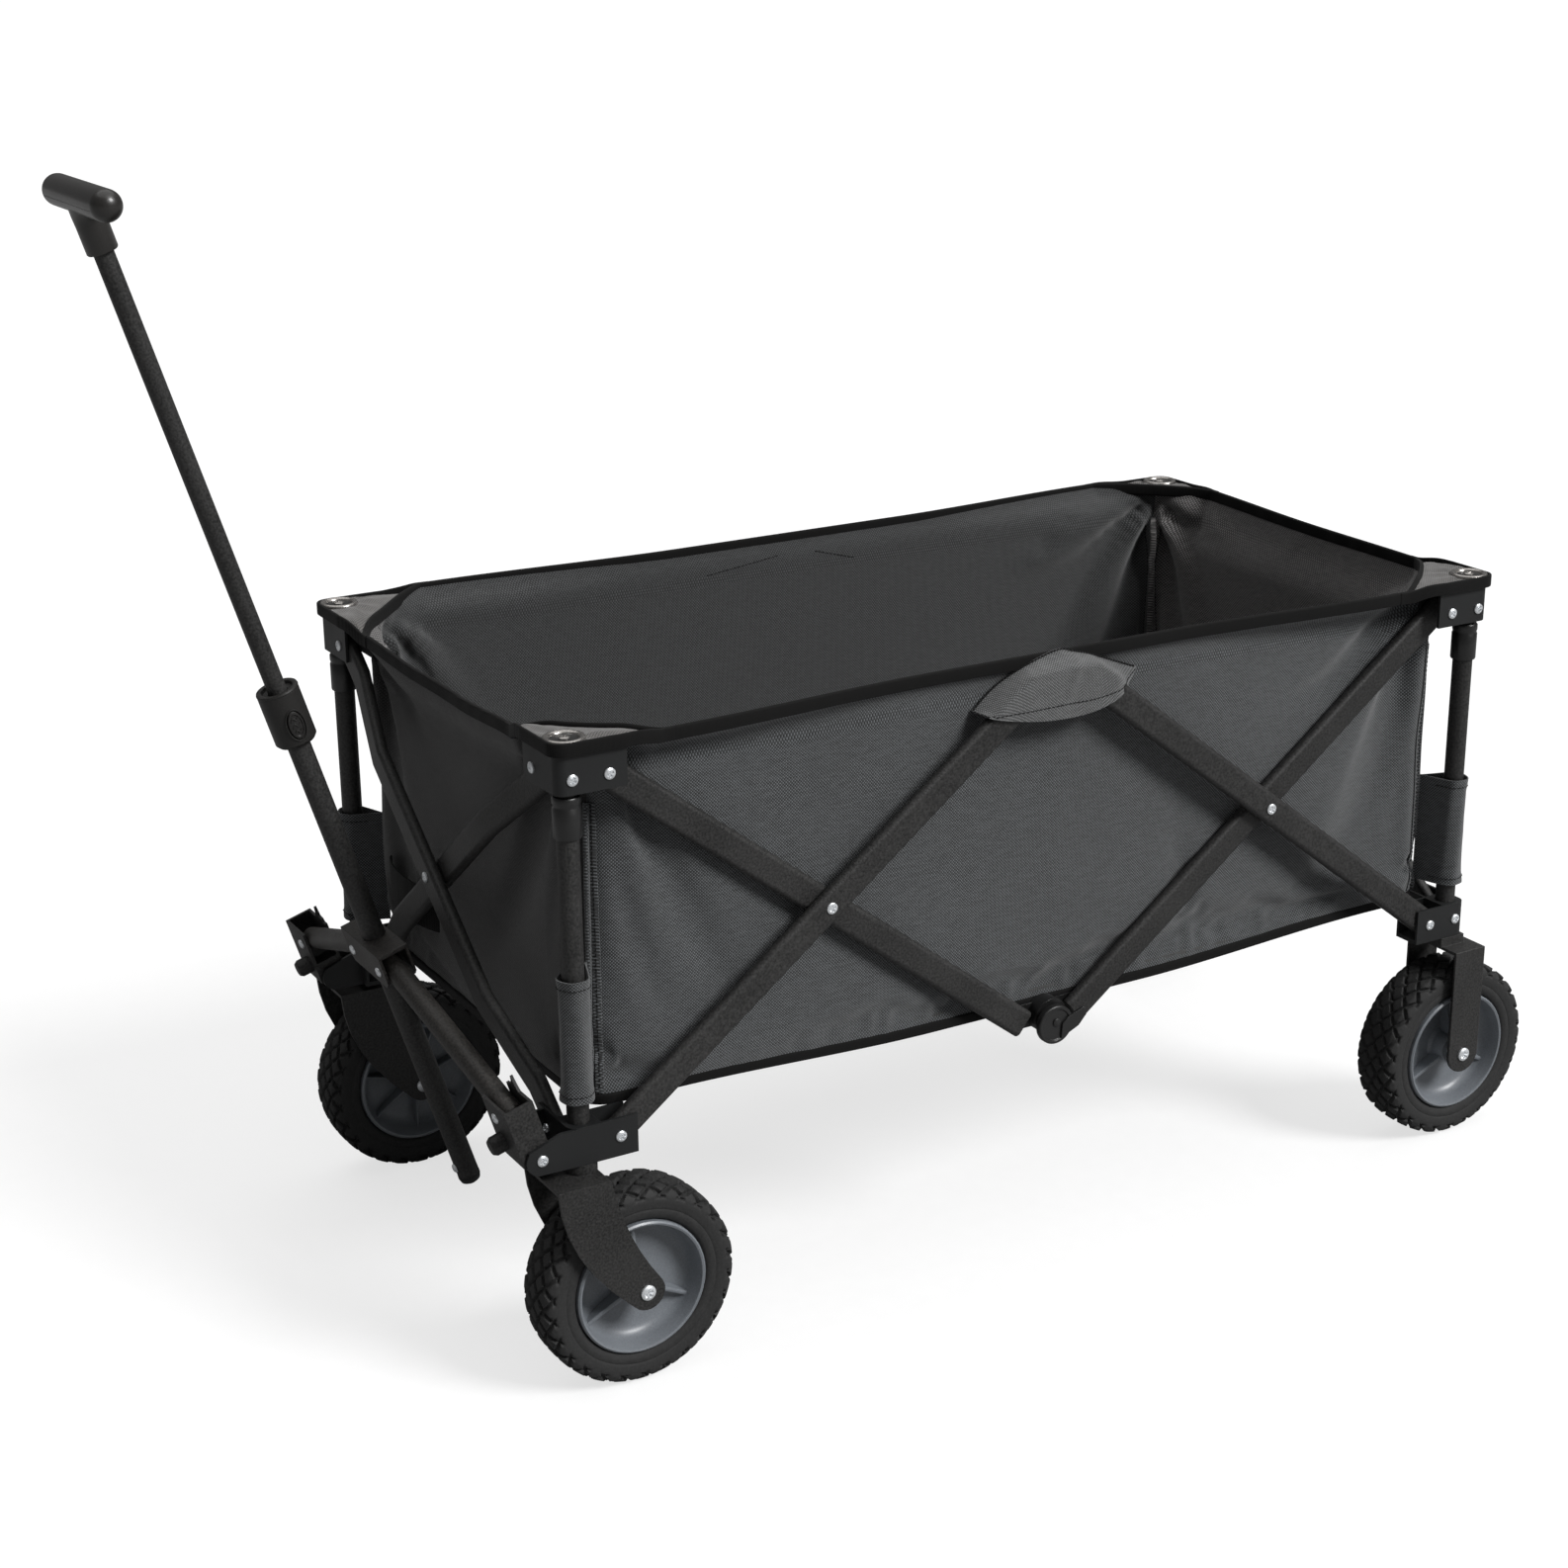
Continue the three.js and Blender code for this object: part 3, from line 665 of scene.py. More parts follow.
collar_top = [(8.2, 345.5), (13.4, 345.5), (16.6, 347.4), (17.3, 349.2), (16.8, 350.6), (14.8, 351.0),
              (13.2, 350.4), (12.4, 348.0), (8.2, 347.6)]
ring = moved(turned(collar_top, 64, loop=True), ALONG)
outline = [on_handle(-16.9 + 0.02 * (u * u), BUTTON_UP + 1.13 * v, 1.2 * u) for u, v in oval]
rim_line = swept(outline, rounded(0.5, 0.9, 0.4, 2), up=(0, 1, 0), loop=True)
make("clamp_trim", [ring, rim_line], CLAMP, "handle_base")
foot = turned([(0.5, -138), (5.5, -137.6), (8.6, -135.4), (9.7, -131.8), (9.7, -129.5), (8.1, -129.5),
               (8.1, -124), (0.5, -124)], 40)
make("handle_foot", [moved(foot, ALONG)], PLASTIC, "handle_base")

for c, (sx, sy) in CORNERS.items():
    collar = turned([(7.9, 468), (10.9, 468.2), (11.3, 469.2), (11.3, 492), (10.7, 492.8), (10.7, 494.6),
                     (11.2, 495.4), (11.2, 500), (10.4, 501.2), (7.9, 501.2)], 40, loop=True)
    at = Matrix.Translation((sx * POST_X, sy * POST_Y, 0))
    make(f"collar_{c}", [moved(collar, at)], PLASTIC_GLOSS, LOW_BODY[c])

for side, sy in SIDES.items():
    face = POST_Y + BAR_OUT
    disc = turned([(0.3, 0), (17.5, 0), (17.5, 4.6), (16.6, 5.6), (14.4, 5.6), (13.6, 4.4), (0.3, 4.4)], 48)
    disc = moved(disc, Matrix.Translation((-3, -face + 3.2, LOW_Z - 3)) @ UPRIGHT)
    arm = [(4, -15), (22, -7), (30, 2), (27, 9), (12, 4), (5, -2)]
    clip = loft([[(x - 2, -face - 0.4, LOW_Z + z - 1) for x, z in arm],
                 [(x - 2, -face - 3.2, LOW_Z + z - 1) for x, z in arm]])
    pin = facing(screw(4.0, 2.0, False), (-2, -face - 1.2, LOW_Z - 1), (0, -1, 0))
    knuckle = [flipped(part, 1, -sy) for part in (disc, clip, pin)]
    make(f"knuckle_{side}", knuckle, PLASTIC_GLOSS, f"hub_low_{side}", bevel=0.5)


# ---- tub cloth


def bezier(p0, p1, p2, p3, t):
    t = t[:, None]
    return (1 - t) ** 3 * p0 + 3 * t * (1 - t) ** 2 * p1 + 3 * t * t * (1 - t) * p2 + t ** 3 * p3


def corner_square(count):
    """Front left corner, from the front wall to the side wall, round the bottom."""
    x0, y0, r = -TUB_X, -TUB_Y, TUB_R
    arc = [(x0 + r - r * math.cos(a), y0 + r - r * math.sin(a)) for a in np.linspace(0, math.pi / 2, 13)]
    line = arr([(x0, y0 + CUT_Y), *arc, (x0 + CUT_X, y0)])
    return spaced(line, count)


def corner_open(count):
    """The opening's edge across the same corner, between the drawn-out edges of both walls."""
    a = arr([-TUB_X - FLARE, -TUB_Y + CUT_Y])
    b = arr([-TUB_X + CUT_X, -TUB_Y - FLARE])
    line = bezier(a, a + arr([10, -24]), b + arr([-26, 10]), b, np.linspace(0, 1, 60))
    return spaced(line, count)


CORNER_COLS, SIDE_COLS, END_COLS = 25, 91, 37


def smooth(t):
    t = np.clip(t, 0, 1)
    return t * t * (3 - 2 * t)


def ring_at(z):
    """The tub's outline in plan at height z, anticlockwise from above, one segment at a time."""
    end_share = smooth((z - END_FROM) / (RIM_Z - END_FROM))
    side_share = smooth((z - SIDE_FROM) / (RIM_Z - SIDE_FROM))
    blend = smooth(np.linspace(0, 3, CORNER_COLS))[:, None]
    share = end_share * (1 - blend) + side_share * blend
    corner = corner_square(CORNER_COLS) * (1 - share) + corner_open(CORNER_COLS) * share
    x = np.linspace(-TUB_X + CUT_X, TUB_X - CUT_X, SIDE_COLS)
    from_middle = smooth((np.abs(x) - 120) / (TUB_X - CUT_X - 120))
    side_flare = FLARE_MID_SIDE + (FLARE - FLARE_MID_SIDE) * from_middle
    side = np.stack([x, -TUB_Y - side_flare * side_share], 1)
    y = np.linspace(-TUB_Y + CUT_Y, TUB_Y - CUT_Y, END_COLS)
    end_flare = FLARE_MID_END + (FLARE - FLARE_MID_END) * smooth(np.abs(y) / (TUB_Y - CUT_Y))
    end = np.stack([TUB_X + end_flare * end_share, y], 1)
    across = arr([1, -1])
    return [
        ("corner_fl", corner),
        ("wall_left", side),
        ("corner_rl", (-corner * across)[::-1]),
        ("wall_rear", end),
        ("corner_rr", -corner),
        ("wall_right", -side),
        ("corner_fr", (corner * across)[::-1]),
        ("wall_front", -end),
    ]


HEIGHTS = np.linspace(TUB_Z0 + 2, RIM_Z, ROWS)


def rim_drop(x, y):
    """How far the bound edge hangs below its highest level, which is along the right side."""
    left = RIM_LEFT * np.clip(0.5 - y / (2 * TUB_Y), 0, 1)
    at_front = smooth((CUT_X - TUB_X - x) / CUT_X)
    front = RIM_FRONT + RIM_FRONT_MIDDLE * smooth((TUB_Y - CUT_Y - np.abs(y)) / 110)
    into_corner = np.minimum(np.abs(x) - TUB_X + CUT_X, np.abs(y) - TUB_Y + CUT_Y)
    return (left * (1 - at_front) + front * at_front) * (1 - 0.5 * smooth(into_corner / 30))


def sag(plan, z):
    """How far the cloth hangs below height z at points of the plan."""
    x, y = plan.T
    low = 1 - smooth((z - TUB_Z0) / (TUB_Z1 - TUB_Z0))
    high = smooth((z - 420) / (RIM_Z - 420))
    side_middle = (np.abs(y) > TUB_Y - 1) * smooth((TUB_X - CUT_X - np.abs(x)) / 260)
    return SAG_LOW * side_middle * low + rim_drop(x, y) * high


def tub_grid():
    """Points (column, row) of the whole wall ring, with each segment's columns."""
    rows, spans = [], {}
    for z in HEIGHTS:
        ring, first = [], 0
        for name, points in ring_at(z):
            spans[name] = (first, first + len(points) - 1)
            ring.append(points[:-1])
            first += len(points) - 1
        plan = np.concatenate(ring)
        rows.append(np.column_stack([plan, z - sag(plan, z)]))
    return np.stack(rows, 1), spans


def simulate(grid, grow, frames):
    """Lets the ring of cloth settle between its bound edges and returns the settled grid."""
    nu, nv = grid.shape[:2]
    index = np.arange(nu * nv).reshape(nu, nv)
    turn = np.roll(index, -1, 0)
    faces = np.stack([index[:, :-1], turn[:, :-1], turn[:, 1:], index[:, 1:]], 2).reshape(-1, 4)
    mesh = bpy.data.meshes.new("settling")
    mesh.from_pydata((grid.reshape(-1, 3) * MM).tolist(), [], faces.tolist())
    obj = bpy.data.objects.new("settling", mesh)
    bpy.context.scene.collection.objects.link(obj)
    pins = obj.vertex_groups.new(name="pins")
    pins.add([int(i) for i in index[:, [0, -1]].ravel()], 1.0, "REPLACE")
    cloth = obj.modifiers.new("cloth", "CLOTH")
    settings = cloth.settings
    for key, value in dict(quality=6, mass=0.35, tension_stiffness=18, compression_stiffness=18,
                           shear_stiffness=9, bending_stiffness=1.6, vertex_group_mass="pins",
                           shrink_min=-grow).items():
        setattr(settings, key, value)
    settings.effector_weights.gravity = 0.25
    cloth.collision_settings.use_collision = False
    cloth.collision_settings.use_self_collision = False
    cloth.point_cache.frame_start, cloth.point_cache.frame_end = 1, frames
    for f in range(1, frames + 1):
        bpy.context.scene.frame_set(f)
    settled = obj.evaluated_get(bpy.context.evaluated_depsgraph_get()).to_mesh()
    out = arr([v.co for v in settled.vertices]).reshape(nu, nv, 3) / MM
    bpy.context.scene.frame_set(1)
    bpy.data.objects.remove(obj)
    return out


def folds(grid):
    """Pull lines from the four top corners, puckers over the lower binding and soft unevenness."""
    x, y, z = grid[..., 0], grid[..., 1], grid[..., 2]
    shift = np.zeros(x.shape)
    for along, size, across, reach, deep in ((x, TUB_X, y, TUB_Y, 9.0), (y, TUB_Y, x, TUB_X, 8.0)):
        here = smooth((np.abs(across) - reach + 40) / 30)
        du, dz = size - 4 - np.abs(along), TUB_Z1 - 14 - z
        far, bearing = np.hypot(du, dz), np.arctan2(dz, du)
        phase = 1.7 * np.sign(along) + 0.9 * np.sign(across)
        wave = np.sin(bearing * 9 + phase + 0.7 * np.sin(far * 0.03)) - 0.35
        rays = wave * np.exp(-far / 130) * smooth(far / 34) * np.where(along > 0, 1.6, 1.0)
        low = (np.sin(along * 0.27 + 2.2 * np.sin(along * 0.043)) - 0.3) * np.exp(-(z - TUB_Z0) / 22)
        shift += here * (deep * rays + 2.4 * low)
    for i, j in np.ndindex(x.shape):
        spot = Vector((x[i, j] * 0.006, y[i, j] * 0.006, z[i, j] * 0.009 + 3.0))
        shift[i, j] += 2.0 * noise.noise(spot)
    return shift


def settle(grid):
    normals = ring_normals(grid)
    hold = np.ones(grid.shape[1])
    hold[:3] = (0, 0.4, 0.8)
    hold[-4:] = (0.8, 0.5, 0.2, 0)
    settled = grid + normals * (folds(grid) * hold)[..., None]
    settled = simulate(settled, 0.002, 24)
    shift = settled - grid
    lift = (shift * normals).sum(2)
    slide = np.clip(shift - normals * lift[..., None], -4, 4) * hold[None, :, None]
    lift = np.where(lift > 0, OUT_CAP * np.tanh(lift / OUT_CAP), IN_CAP * np.tanh(lift / IN_CAP))
    return grid + normals * (lift * hold)[..., None] + slide


def refine(grid):
    """Doubles the columns and rows of a ring with cubic interpolation; the rows do not wrap."""
    def between(a, axis, wrap):
        before = np.roll(a, 1, axis)
        after = np.roll(a, -1, axis)
        second = np.roll(a, -2, axis)
        middle = (9 * (a + after) - before - second) / 16
        if not wrap:
            ends = [0, a.shape[1] - 2]
            middle[:, ends] = ((a + after) / 2)[:, ends]
        woven_in = np.stack([a, middle], axis + 1)
        shape = list(a.shape)
        shape[axis] *= 2
        out = woven_in.reshape(shape)
        return out if wrap else np.delete(out, -1, axis)
    return between(between(grid, 0, True), 1, False)


plain_grid, SPANS = tub_grid()
outer = refine(settle(plain_grid))
facing_out = ring_normals(outer)
inner = outer - facing_out * CLOTH
run_u = run_of(outer[:, 4])

MOTION = {
    "wall_left": ("hub_high_l", (1, 0, 0), SIDE_LEFT, (0, -TUB_Y)),
    "wall_right": ("hub_high_r", (1, 0, 0), SIDE_LEFT, (0, TUB_Y)),
    "wall_front": ("upper_fl", (0, 1, 0), END_LEFT, (-TUB_X, -TUB_Y + CUT_Y)),
    "wall_rear": ("upper_rl", (0, 1, 0), END_LEFT, (TUB_X, -TUB_Y + CUT_Y)),
    **{f"corner_{c}": (f"upper_{c}", None, 1, None) for c in CORNERS},
}


def fold_with(piece, name):
    body, axis, keep, anchor = MOTION[name]
    if axis:
        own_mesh(piece)


def columns_of(name):
    first, last = SPANS[name]
    return np.arange(first * 2, last * 2 + 1) % len(outer)


def nearest(cols, x):
    """The column of a side wall that is nearest to x."""
    return cols[np.argmin(np.abs(outer[cols, MID_ROW, 0] - x))]


def sewn_line(points, normals, lift, width, height):
    """A flat strip that lies on the cloth along points."""
    rings = []
    ahead = np.gradient(points, axis=0)
    for p, n, t in zip(points, normals, ahead):
        side = np.cross(t / np.linalg.norm(t), n)
        section = rounded(width / 2, height / 2, height / 2.2, 2)
        rings.append([p + n * (lift + v) + side * u for u, v in section])
    return loft(rings)


def dashes(points, normals, lift, pitch=4.2, length=2.8, r=0.45):
    """Stitches along a line on the cloth."""
    steps = run_of(points)
    parts = []
    for s in np.arange(pitch / 2, steps[-1] - pitch / 2, pitch):
        ends = []
        for at_s in (s - length / 2, s, s + length / 2):
            p, n = (arr([np.interp(at_s, steps, v[:, k]) for k in range(3)]) for v in (points, normals))
            ends.append(p + n * (lift + (0.25 if at_s == s else -0.15)))
        parts.append(swept(ends, [(r, 0), (0, r), (-r, 0), (0, -r)], up=normals[0]))
    return parts


def binding(points, outward, z_low, z_high, thick):
    """Tape folded over an edge: a rounded band from z_low to z_high about points."""
    rings = []
    half = (z_high - z_low) / 2
    for p, n in zip(points, outward):
        flat = arr([n[0], n[1], 0])
        flat /= np.linalg.norm(flat)
        mid = p + arr([0, 0, (z_low + z_high) / 2])
        section = rounded(thick / 2, half, thick / 2.3, 3)
        rings.append([mid + flat * (u - CLOTH / 2) + arr([0, 0, v]) for u, v in section])
    return loft(rings)


SEAM_AT = 23  # column of a corner's seam, counted from its end wall
WALLS, TRIMS = {}, {}
for name in MOTION:
    cols = columns_of(name)
    o, i, n = outer[cols], inner[cols], facing_out[cols]
    flat_u = run_u[cols] if cols[-1] > cols[0] else np.r_[run_u[cols[:-1]], run_u[-1] + 4.5]
    uv = np.stack(np.meshgrid(flat_u, outer[0, :, 2], indexing="ij"), 2).reshape(-1, 2) * MM
    end = name in ("wall_front", "wall_rear")
    body = MOTION[name][0]
    # End walls take the painted-shade copy of the canvas on their outer faces.
    piece = make(f"cloth_{name}", [shell(o, i)], CANVAS_END_SHADED if end else CANVAS, body,
                 uv=uv, angle=80)
    smooth_normals = np.concatenate([n.reshape(-1, 3), -n.reshape(-1, 3)])
    piece.data.normals_split_custom_set_from_vertices(smooth_normals.tolist())
    quads = (len(cols) - 1) * (outer.shape[1] - 1)
    # Inner faces take the painted-shade copy of the canvas, or on the end walls the painted-light copy.
    piece.data.materials.append(LIT_END_INSIDE if end else SHADED_INSIDE)
    face_material = np.zeros(len(piece.data.polygons), np.int32)
    face_material[quads:2 * quads] = 1
    # A corner's end half takes the end walls' painted-shade outer copy and painted-light inner copy of the
    # canvas.
    if name.startswith("corner"):
        for material in (CANVAS_END_SHADED, LIT_END_INSIDE):
            piece.data.materials.append(material)
        strips = np.repeat(np.arange(len(cols) - 1), outer.shape[1] - 1)
        end_first = name in ("corner_fl", "corner_rr")
        on_end = strips < SEAM_AT if end_first else strips >= len(cols) - 1 - SEAM_AT
        face_material[:2 * quads] += 2 * np.tile(on_end, 2)
    piece.data.polygons.foreach_set("material_index", face_material)
    top, low = o[:, -1], o[:, 0]
    trim = [binding(top, n[:, -1], -8.5, 3, 4.2), binding(low, n[:, 0], -2.5, 6.8, 3.8)]
    tape = make(f"binding_{name}", trim, TAPE, body, angle=50)
    WALLS[name], TRIMS[name] = piece, [tape]

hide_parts("tub")


# ---- corner tabs, eyelets, sleeves and seams


TAB_COLS, TAB_ROWS = 61, 19
SLEEVE_R, SLEEVE_REACH = 12.2, 22  # round the post, and out to the walls' corner
SEAM_ROWS = slice(2, -16)  # rows of a corner that its seam runs along, below the bracket


def tab_outer():
    """Plan of a corner tab's outer edge about the post axis, inwards +."""
    o, r = 16.4, 11
    wall_x, wall_y = POST_X - TUB_X, POST_Y - TUB_Y
    arc = [(r - o - r * math.cos(a), r - o - r * math.sin(a)) for a in np.linspace(math.pi / 2, 0, 9)]
    line = arr([(wall_x + CUT_X, wall_y - FLARE - 1), (56, -o + 2), (40, -o), (20, -o), *arc, (-o, 20),
                (-o, 40), (-o + 2, 54), (wall_x - FLARE - 1, wall_y + CUT_Y)])
    return spaced(line, TAB_COLS)


def tab_parts():
    edge = tab_outer()
    wall = corner_open(TAB_COLS)[::-1] + arr([POST_X, POST_Y])
    grid = np.zeros((TAB_COLS, TAB_ROWS, 3))
    for k, t in enumerate(np.linspace(0, 1, TAB_ROWS)):
        plan = wall * (1 - t) + edge * t
        far = np.hypot(plan[:, 0], plan[:, 1])
        bearing = np.arctan2(plan[:, 1], plan[:, 0])
        pucker = 1.0 * np.cos(bearing * 9) * np.exp(-((far - 26) / 9) ** 2)
        sag = 4.0 * t * (1 - t) * np.clip((far - 18) / 30, 0, 1)
        z = TUB_Z1 - 3.5 - 3.6 * smooth(t * 1.2) - 0.35 * sag + pucker
        grid[:, k] = np.column_stack([plan, z])
    return edge, grid


def local_corner(part, sx, sy):
    """Moves a part drawn about the front left post axis to the named corner."""
    verts, faces = flipped(part, -sx if sx > 0 else 1, -sy if sy > 0 else 1)
    return verts + arr([sx * POST_X, sy * POST_Y, 0]), faces


def sleeve_parts():
    corner = arr([SLEEVE_REACH, SLEEVE_REACH])
    tangent = math.acos(SLEEVE_R / math.hypot(*corner))
    first, last = math.pi / 4 + tangent, math.pi / 4 - tangent + 2 * math.pi
    arc = [(SLEEVE_R * math.cos(a), SLEEVE_R * math.sin(a)) for a in np.linspace(first, last, 30)]
    to_post = [corner + (arr(arc[0]) - corner) * t for t in np.linspace(0, 0.9, 6)]
    back = [arr(arc[-1]) + (corner - arr(arc[-1])) * t for t in np.linspace(0.1, 1.0, 6)]
    plan = arr([*to_post, *arc, *back])
    heights = [252, 254.5, 258, 262, 270, 285, 300, 315, 330, 342, 347, 351, 354]
    flare = [1.7, 1.5, 1.1, 0.5, 0.2, 0.0, 0.2, 0.0, 0.2, 0.1, 0.5, 0.9, 1.0]
    away = plan / np.maximum(np.hypot(plan[:, 0], plan[:, 1]), 1)[:, None]
    fade = np.clip((24 - np.hypot(plan[:, 0], plan[:, 1])) / 10, 0, 1)[:, None]
    grid = np.zeros((len(plan), len(heights), 3))
    for k, (z, f) in enumerate(zip(heights, flare)):
        crease = 0.35 * np.sin(np.arange(len(plan)) * 0.7 + k * 0.4)[:, None]
        ring = plan + away * fade * (f + crease)
        grid[:, k] = np.column_stack([ring, np.full(len(plan), z)])
    return grid, run_of(plan), heights


TAB_EDGE, TAB_GRID = tab_parts()
SLEEVE, SLEEVE_RUN, SLEEVE_Z = sleeve_parts()

for c, (sx, sy) in CORNERS.items():
    upper = f"upper_{c}"
    away = smooth((np.hypot(*TAB_EDGE.T) - 35) / 45)
    edge_drop = rim_drop(sx * (POST_X - TAB_EDGE[:, 0]), sy * (POST_Y - TAB_EDGE[:, 1])) * away
    grid = TAB_GRID.copy()
    drop = rim_drop(sx * (POST_X - grid[:, 0, 0]), sy * (POST_Y - grid[:, 0, 1]))
    outwards = smooth(np.linspace(0, 1.8, grid.shape[1]))
    grid[..., 2] -= np.outer(drop, 1 - outwards) + np.outer(edge_drop, outwards)
    normals = grid_normals(grid)
    normals *= np.sign(normals[..., 2:3])
    tab = local_corner(shell(grid, grid - normals * 1.0), sx, sy)
    flat = grid[..., :2].reshape(-1, 2) * MM
    cloth_tab = make(f"tab_{c}", [tab], CANVAS_CORNER, upper, uv=flat, angle=80)
    level = TUB_Z1 - 5.7 - 4.5 * (1 - away) - edge_drop
    line = np.column_stack([TAB_EDGE, level])
    ends = arr([[8, 0.6, 0], [0.2, 8, 0]])
    line = np.concatenate([line[:1] + ends[:1], line, line[-1:] + ends[1:]])
    edge = swept(line, rounded(1.5, 5.6, 1.3, 3))
    hem = make(f"tab_edge_{c}", [local_corner(edge, sx, sy)], TAPE, upper, angle=60)
    top = TUB_Z1 - 6.4
    eyelet = turned([(11.2, top - 1), (16.6, top - 1), (16.6, top + 1.0), (15.8, top + 2.2),
                     (14.2, top + 2.6), (12.4, top + 2.0), (11.2, top + 0.4)], 56, loop=True)
    ring = make(f"eyelet_{c}", [local_corner(eyelet, sx, sy)], NICKEL, upper, angle=60)
    cap = turned([(0.2, top + 0.5), (11.6, top + 0.3), (11.6, top - 1.5), (0.2, top - 1.5)], 32)
    well = make(f"eyelet_well_{c}", [local_corner(cap, sx, sy)], PLASTIC_GLOSS, upper)
    bolt = facing(screw(4.4, 1.8), (0, 0, top + 0.4), (0, 0, 1), 0.5)
    bolt = make(f"eyelet_screw_{c}", [local_corner(bolt, sx, sy)], NICKEL, upper, angle=50)

    around = grid_normals(SLEEVE)
    tube = local_corner(shell(SLEEVE, SLEEVE - around * 1.0), sx, sy)
    uv = np.stack(np.meshgrid(SLEEVE_RUN, SLEEVE_Z, indexing="ij"), 2).reshape(-1, 2) * MM
    sleeve = make(f"sleeve_{c}", [tube], CANVAS, upper, uv=uv, angle=80)
    hems = [d for k in (2, -3) for d in dashes(SLEEVE[3:-3, k], around[3:-3, k], 0.3)]
    hems = make(f"sleeve_thread_{c}", [local_corner(d, sx, sy) for d in hems], THREAD, upper)

    # Corner seams: a raised piping outside on the side wall and a sewn seam inside.
    cols = columns_of(f"corner_{c}")
    o, n = outer[cols], facing_out[cols]
    end_first = list(range(len(cols)) if sx * sy > 0 else range(len(cols) - 1, -1, -1))
    corner, stitched = end_first[SEAM_AT], end_first[SEAM_AT + 3]
    piping = [
        sewn_line(o[corner, SEAM_ROWS], n[corner, SEAM_ROWS], 1.6, 5.0, 4.4),
        sewn_line(o[stitched, SEAM_ROWS], n[stitched, SEAM_ROWS], 0.5, 7.0, 1.0),
    ]
    allowance = [sewn_line(o[corner, 2:-8], -n[corner, 2:-8], CLOTH + 0.8, 6.0, 1.8)]
    thread = dashes(o[stitched, 3:-16], n[stitched, 3:-16], 1.1)
    for k in (end_first[SEAM_AT - 4], end_first[SEAM_AT + 4]):
        thread += dashes(o[k, 3:-9], -n[k, 3:-9], CLOTH + 0.2)
    TRIMS[f"corner_{c}"].append(make(f"seam_thread_{c}", thread, THREAD, upper))
    # The seam allowance inside takes the painted-light copy of the canvas.
    for name, strips, material in (("piping", piping, CANVAS), ("allowance", allowance, LIT_END_INSIDE)):
        spots = np.concatenate([strip[0] for strip in strips])
        uv = np.column_stack([spots[:, 0] + spots[:, 1], spots[:, 2]]) * MM
        TRIMS[f"corner_{c}"].append(make(f"{name}_{c}", strips, material, upper, uv=uv, angle=50))


# ---- flaps, keeper


FLAP_HALF, FLAP_AT = 83, 4  # half the flap's length, and where its middle is along the wall
FLAP_TOP, FLAP_LOW = 545, 502.4  # heights of its stitched top in the middle and of its tips
DROP_AHEAD, DROP_BEHIND = 42, 31  # how far the stitched line falls from there to either tip
BAR_RUN = 390  # how far a side bar reaches between its pivots, along the wagon


def flap_grid():
    """The left leaf-shaped flap, stitched to the wall along its top and hung over the joint."""
    nu, nv = 61, 31
    grid = np.zeros((nu, nv, 3))
    slope = (HIGH_Z - LOW_Z) / BAR_RUN
    columns = columns_of("wall_left")
    for a, u in enumerate(np.linspace(-1, 1, nu)):
        x = FLAP_HALF * u + FLAP_AT
        top = FLAP_TOP - (DROP_AHEAD * (-u) ** 1.7 if u < 0 else DROP_BEHIND * u ** 1.15)
        low = FLAP_LOW + 12 * max(u, 0) ** 2 - 13 * (1 - u * u)
        bar_top = HIGH_Z + 13.5 - slope * max(abs(x) - 34, 0)
        wall = outer[nearest(columns, x)]
        for b, v in enumerate(np.linspace(0, 1, nv)):
            z = low + (top - low) * (1 - (1 - v) ** 1.4)
            over = min(max(bar_top, low), top - 3)
            lift = (1 - smooth((z - over) / (top - over))) * (1 - 0.85 * smooth((u - 0.55) / 0.45))
            ripple = 0.9 * noise.noise(Vector((x * 0.05, z * 0.07, 2.0))) * (1 - v)
            ripple += 1.8 * v * math.exp(-((x - 10 - 0.4 * (z - 530)) / 4) ** 2)
            sewn = np.interp(z, wall[:, 2], -wall[:, 1]) + 3.2
            grid[a, b] = (x, -(sewn * (1 - lift) + (TUB_Y + 30.1) * lift + ripple), z)
    return grid


for side, sy in SIDES.items():
    grid = flap_grid()
    normals = grid_normals(grid)
    normals *= -np.sign(normals[..., 1:2])
    body = f"hub_high_{side}"
    down = np.cumsum(np.linalg.norm(np.diff(grid, axis=1, prepend=grid[:, :1]), axis=2), axis=1)
    flat = np.stack([grid[..., 0], down - down[:, -1:]], 2).reshape(-1, 2) * MM
    leaf = flipped(shell(grid, grid - normals * 1.0), 1, -sy)
    flap = make(f"flap_{side}", [leaf], CANVAS_TAB, body, uv=flat, angle=80)
    stitches = dashes(grid[:, -2], normals[:, -2], 0.5, 3.2, 2.0, 0.8)
    stitches += dashes(grid[:, 5], normals[:, 5], 0.3)
    threads = make(f"flap_thread_{side}", [flipped(p, 1, -sy) for p in stitches], THREAD, body)


def inside(name, x, z):
    """The spot on a side wall's inner face at x and z, and the way it faces."""
    k = nearest(columns_of(name), x)
    y, ny = (np.interp(z, outer[k, :, 2], values[k, :, 1]) for values in (inner, facing_out))
    return arr([x, y, z]), arr([0, -np.sign(ny), 0])


for side, sy in SIDES.items():
    wall = "wall_left" if sy < 0 else "wall_right"
    seams = []
    for start, end in (((-92, 524), (-12, 533)), ((71, 520), (24, 533))):
        spots = [inside(wall, x, z) for x, z in np.linspace(start, end, 12)]
        seams += dashes(arr([p for p, n in spots]), arr([n for p, n in spots]), 0.3)
    TRIMS[wall].append(make(f"flap_seam_{side}", seams, THREAD, f"hub_high_{side}"))


def strap_loop(y):
    """How far the keeper stands off the front wall."""
    return 11 * math.sin(math.pi * (y - STRAP_FROM) / (STRAP_TO - STRAP_FROM)) ** 0.7


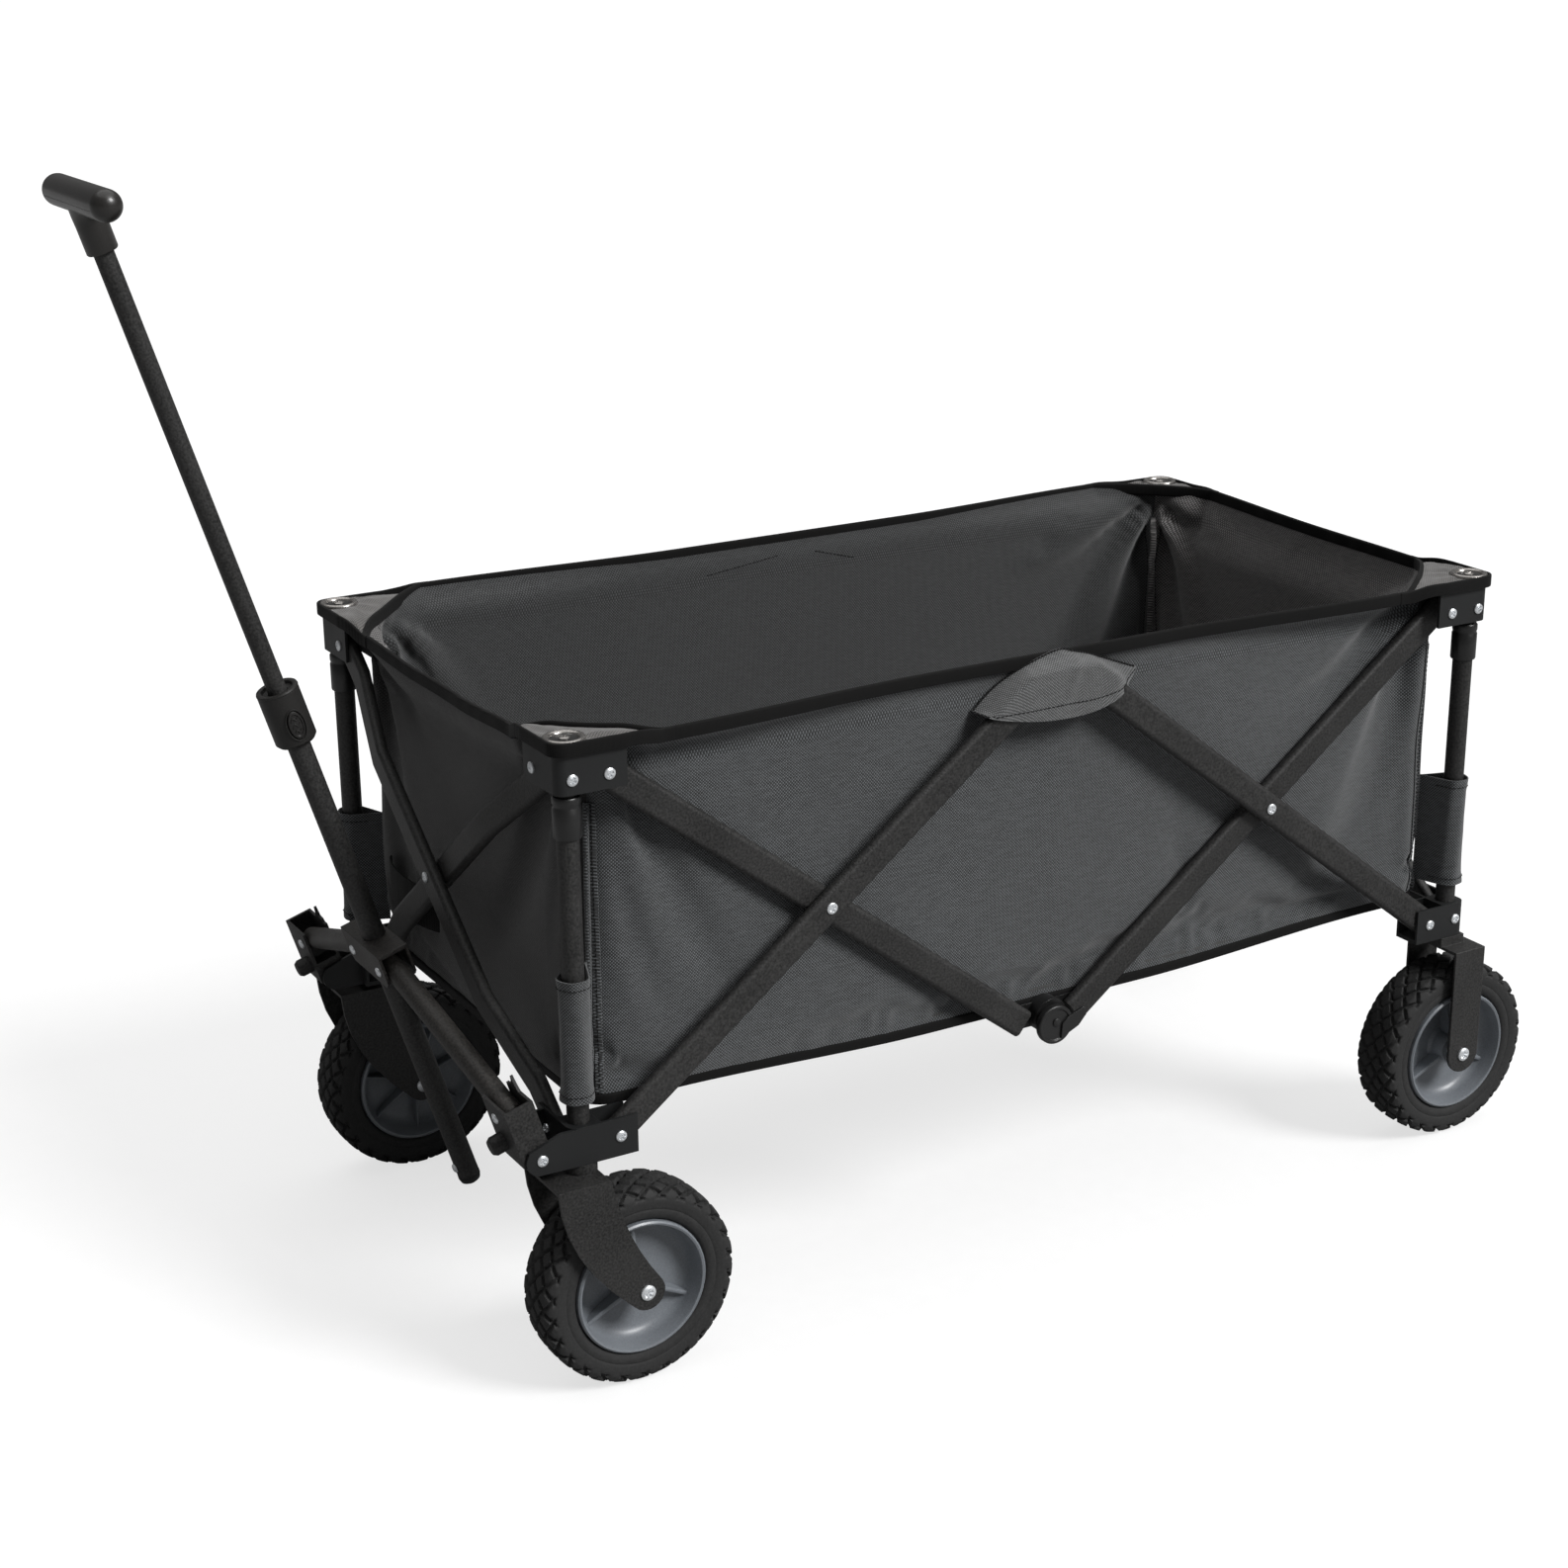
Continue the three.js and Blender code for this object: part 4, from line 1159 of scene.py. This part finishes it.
STRAP_FROM, STRAP_TO, STRAP_Z = 66, 172, 306
strap = [(-TUB_X - 2.2 - strap_loop(y), y, STRAP_Z) for y in np.linspace(STRAP_FROM, STRAP_TO, 27)]
keeper = make("keeper_strap", [swept(strap, rounded(0.9, 19, 0.8, 2))], TAPE, "upper_fl")


# ---- padded base


def base_panel(x0, x1, front, rear):
    """Left half panel between x0 and x1, from the wall to the middle."""
    nu, nv = 41, 31
    y0, y1 = -(TUB_Y - 1.6), 0.3
    top = np.zeros((nu, nv, 3))
    low = np.zeros((nu, nv, 3))
    r = 25
    for a, u in enumerate(np.linspace(0, 1, nu)):
        for b, v in enumerate(np.linspace(0, 1, nv)):
            x, y = x0 + (x1 - x0) * u, y0 + (y1 - y0) * v
            for on, cx, sign in ((front, x0 + r, -1), (rear, x1 - r, 1)):
                dx, dy = (x - cx) * sign, (y0 + r) - y
                if on and dx > 0 and dy > 0:
                    shrink = max(dx, dy) / math.hypot(dx, dy)
                    x, y = cx + sign * dx * shrink, y0 + r - dy * shrink
            edge = min(u, 1 - u) * (x1 - x0), min(v, 1 - v) * (y1 - y0)
            crown = 1 - math.exp(-min(edge) / 9)
            quilt = 0.9 * math.exp(-((abs((u - 0.5) * 3) % 1 - 0.5) / 0.03) ** 2)
            uneven = 0.5 * noise.noise(Vector((x * 0.03, y * 0.03, 1)))
            z = TUB_Z0 + 6.2 + 5.6 * crown - quilt * crown + uneven
            top[a, b] = (x, y, z)
            low[a, b] = (x, y, TUB_Z0 + 2.4 - 1.2 * crown)
    return top, low


THIRD = TUB_X / 3
PANELS = (  # name, ends, which end has round corners, how far it shortens in a fold, its slope then
    ("front", -TUB_X + 1.6, -THIRD + 0.3, True, False, 0.95, 35.6),
    ("middle", -THIRD - 0.3, THIRD + 0.3, False, False, 0.80, 27.6),
    ("rear", THIRD - 0.3, TUB_X - 1.6, False, True, 0.67, 14.5),
)
for name, x0, x1, front, rear, share, slope in PANELS:
    top, low = base_panel(x0, x1, front, rear)
    for side, sy in SIDES.items():
        body = {"front": f"upper_f{side}", "middle": f"hub_high_{side}", "rear": f"upper_r{side}"}[name]
        slab = flipped(shell(top, low), 1, -sy)
        uv = top[..., :2].reshape(-1, 2) * MM
        pad = make(f"base_{name}_{side}", [slab], PAD, body, uv=uv, angle=60)
        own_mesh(pad)
        if name == "middle" and side == "l":
            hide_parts("base_mat")

for name, piece in WALLS.items():
    for moving in (piece, *TRIMS[name]):
        fold_with(moving, name)

for name, piece in WALLS.items():
    cols = columns_of(name)
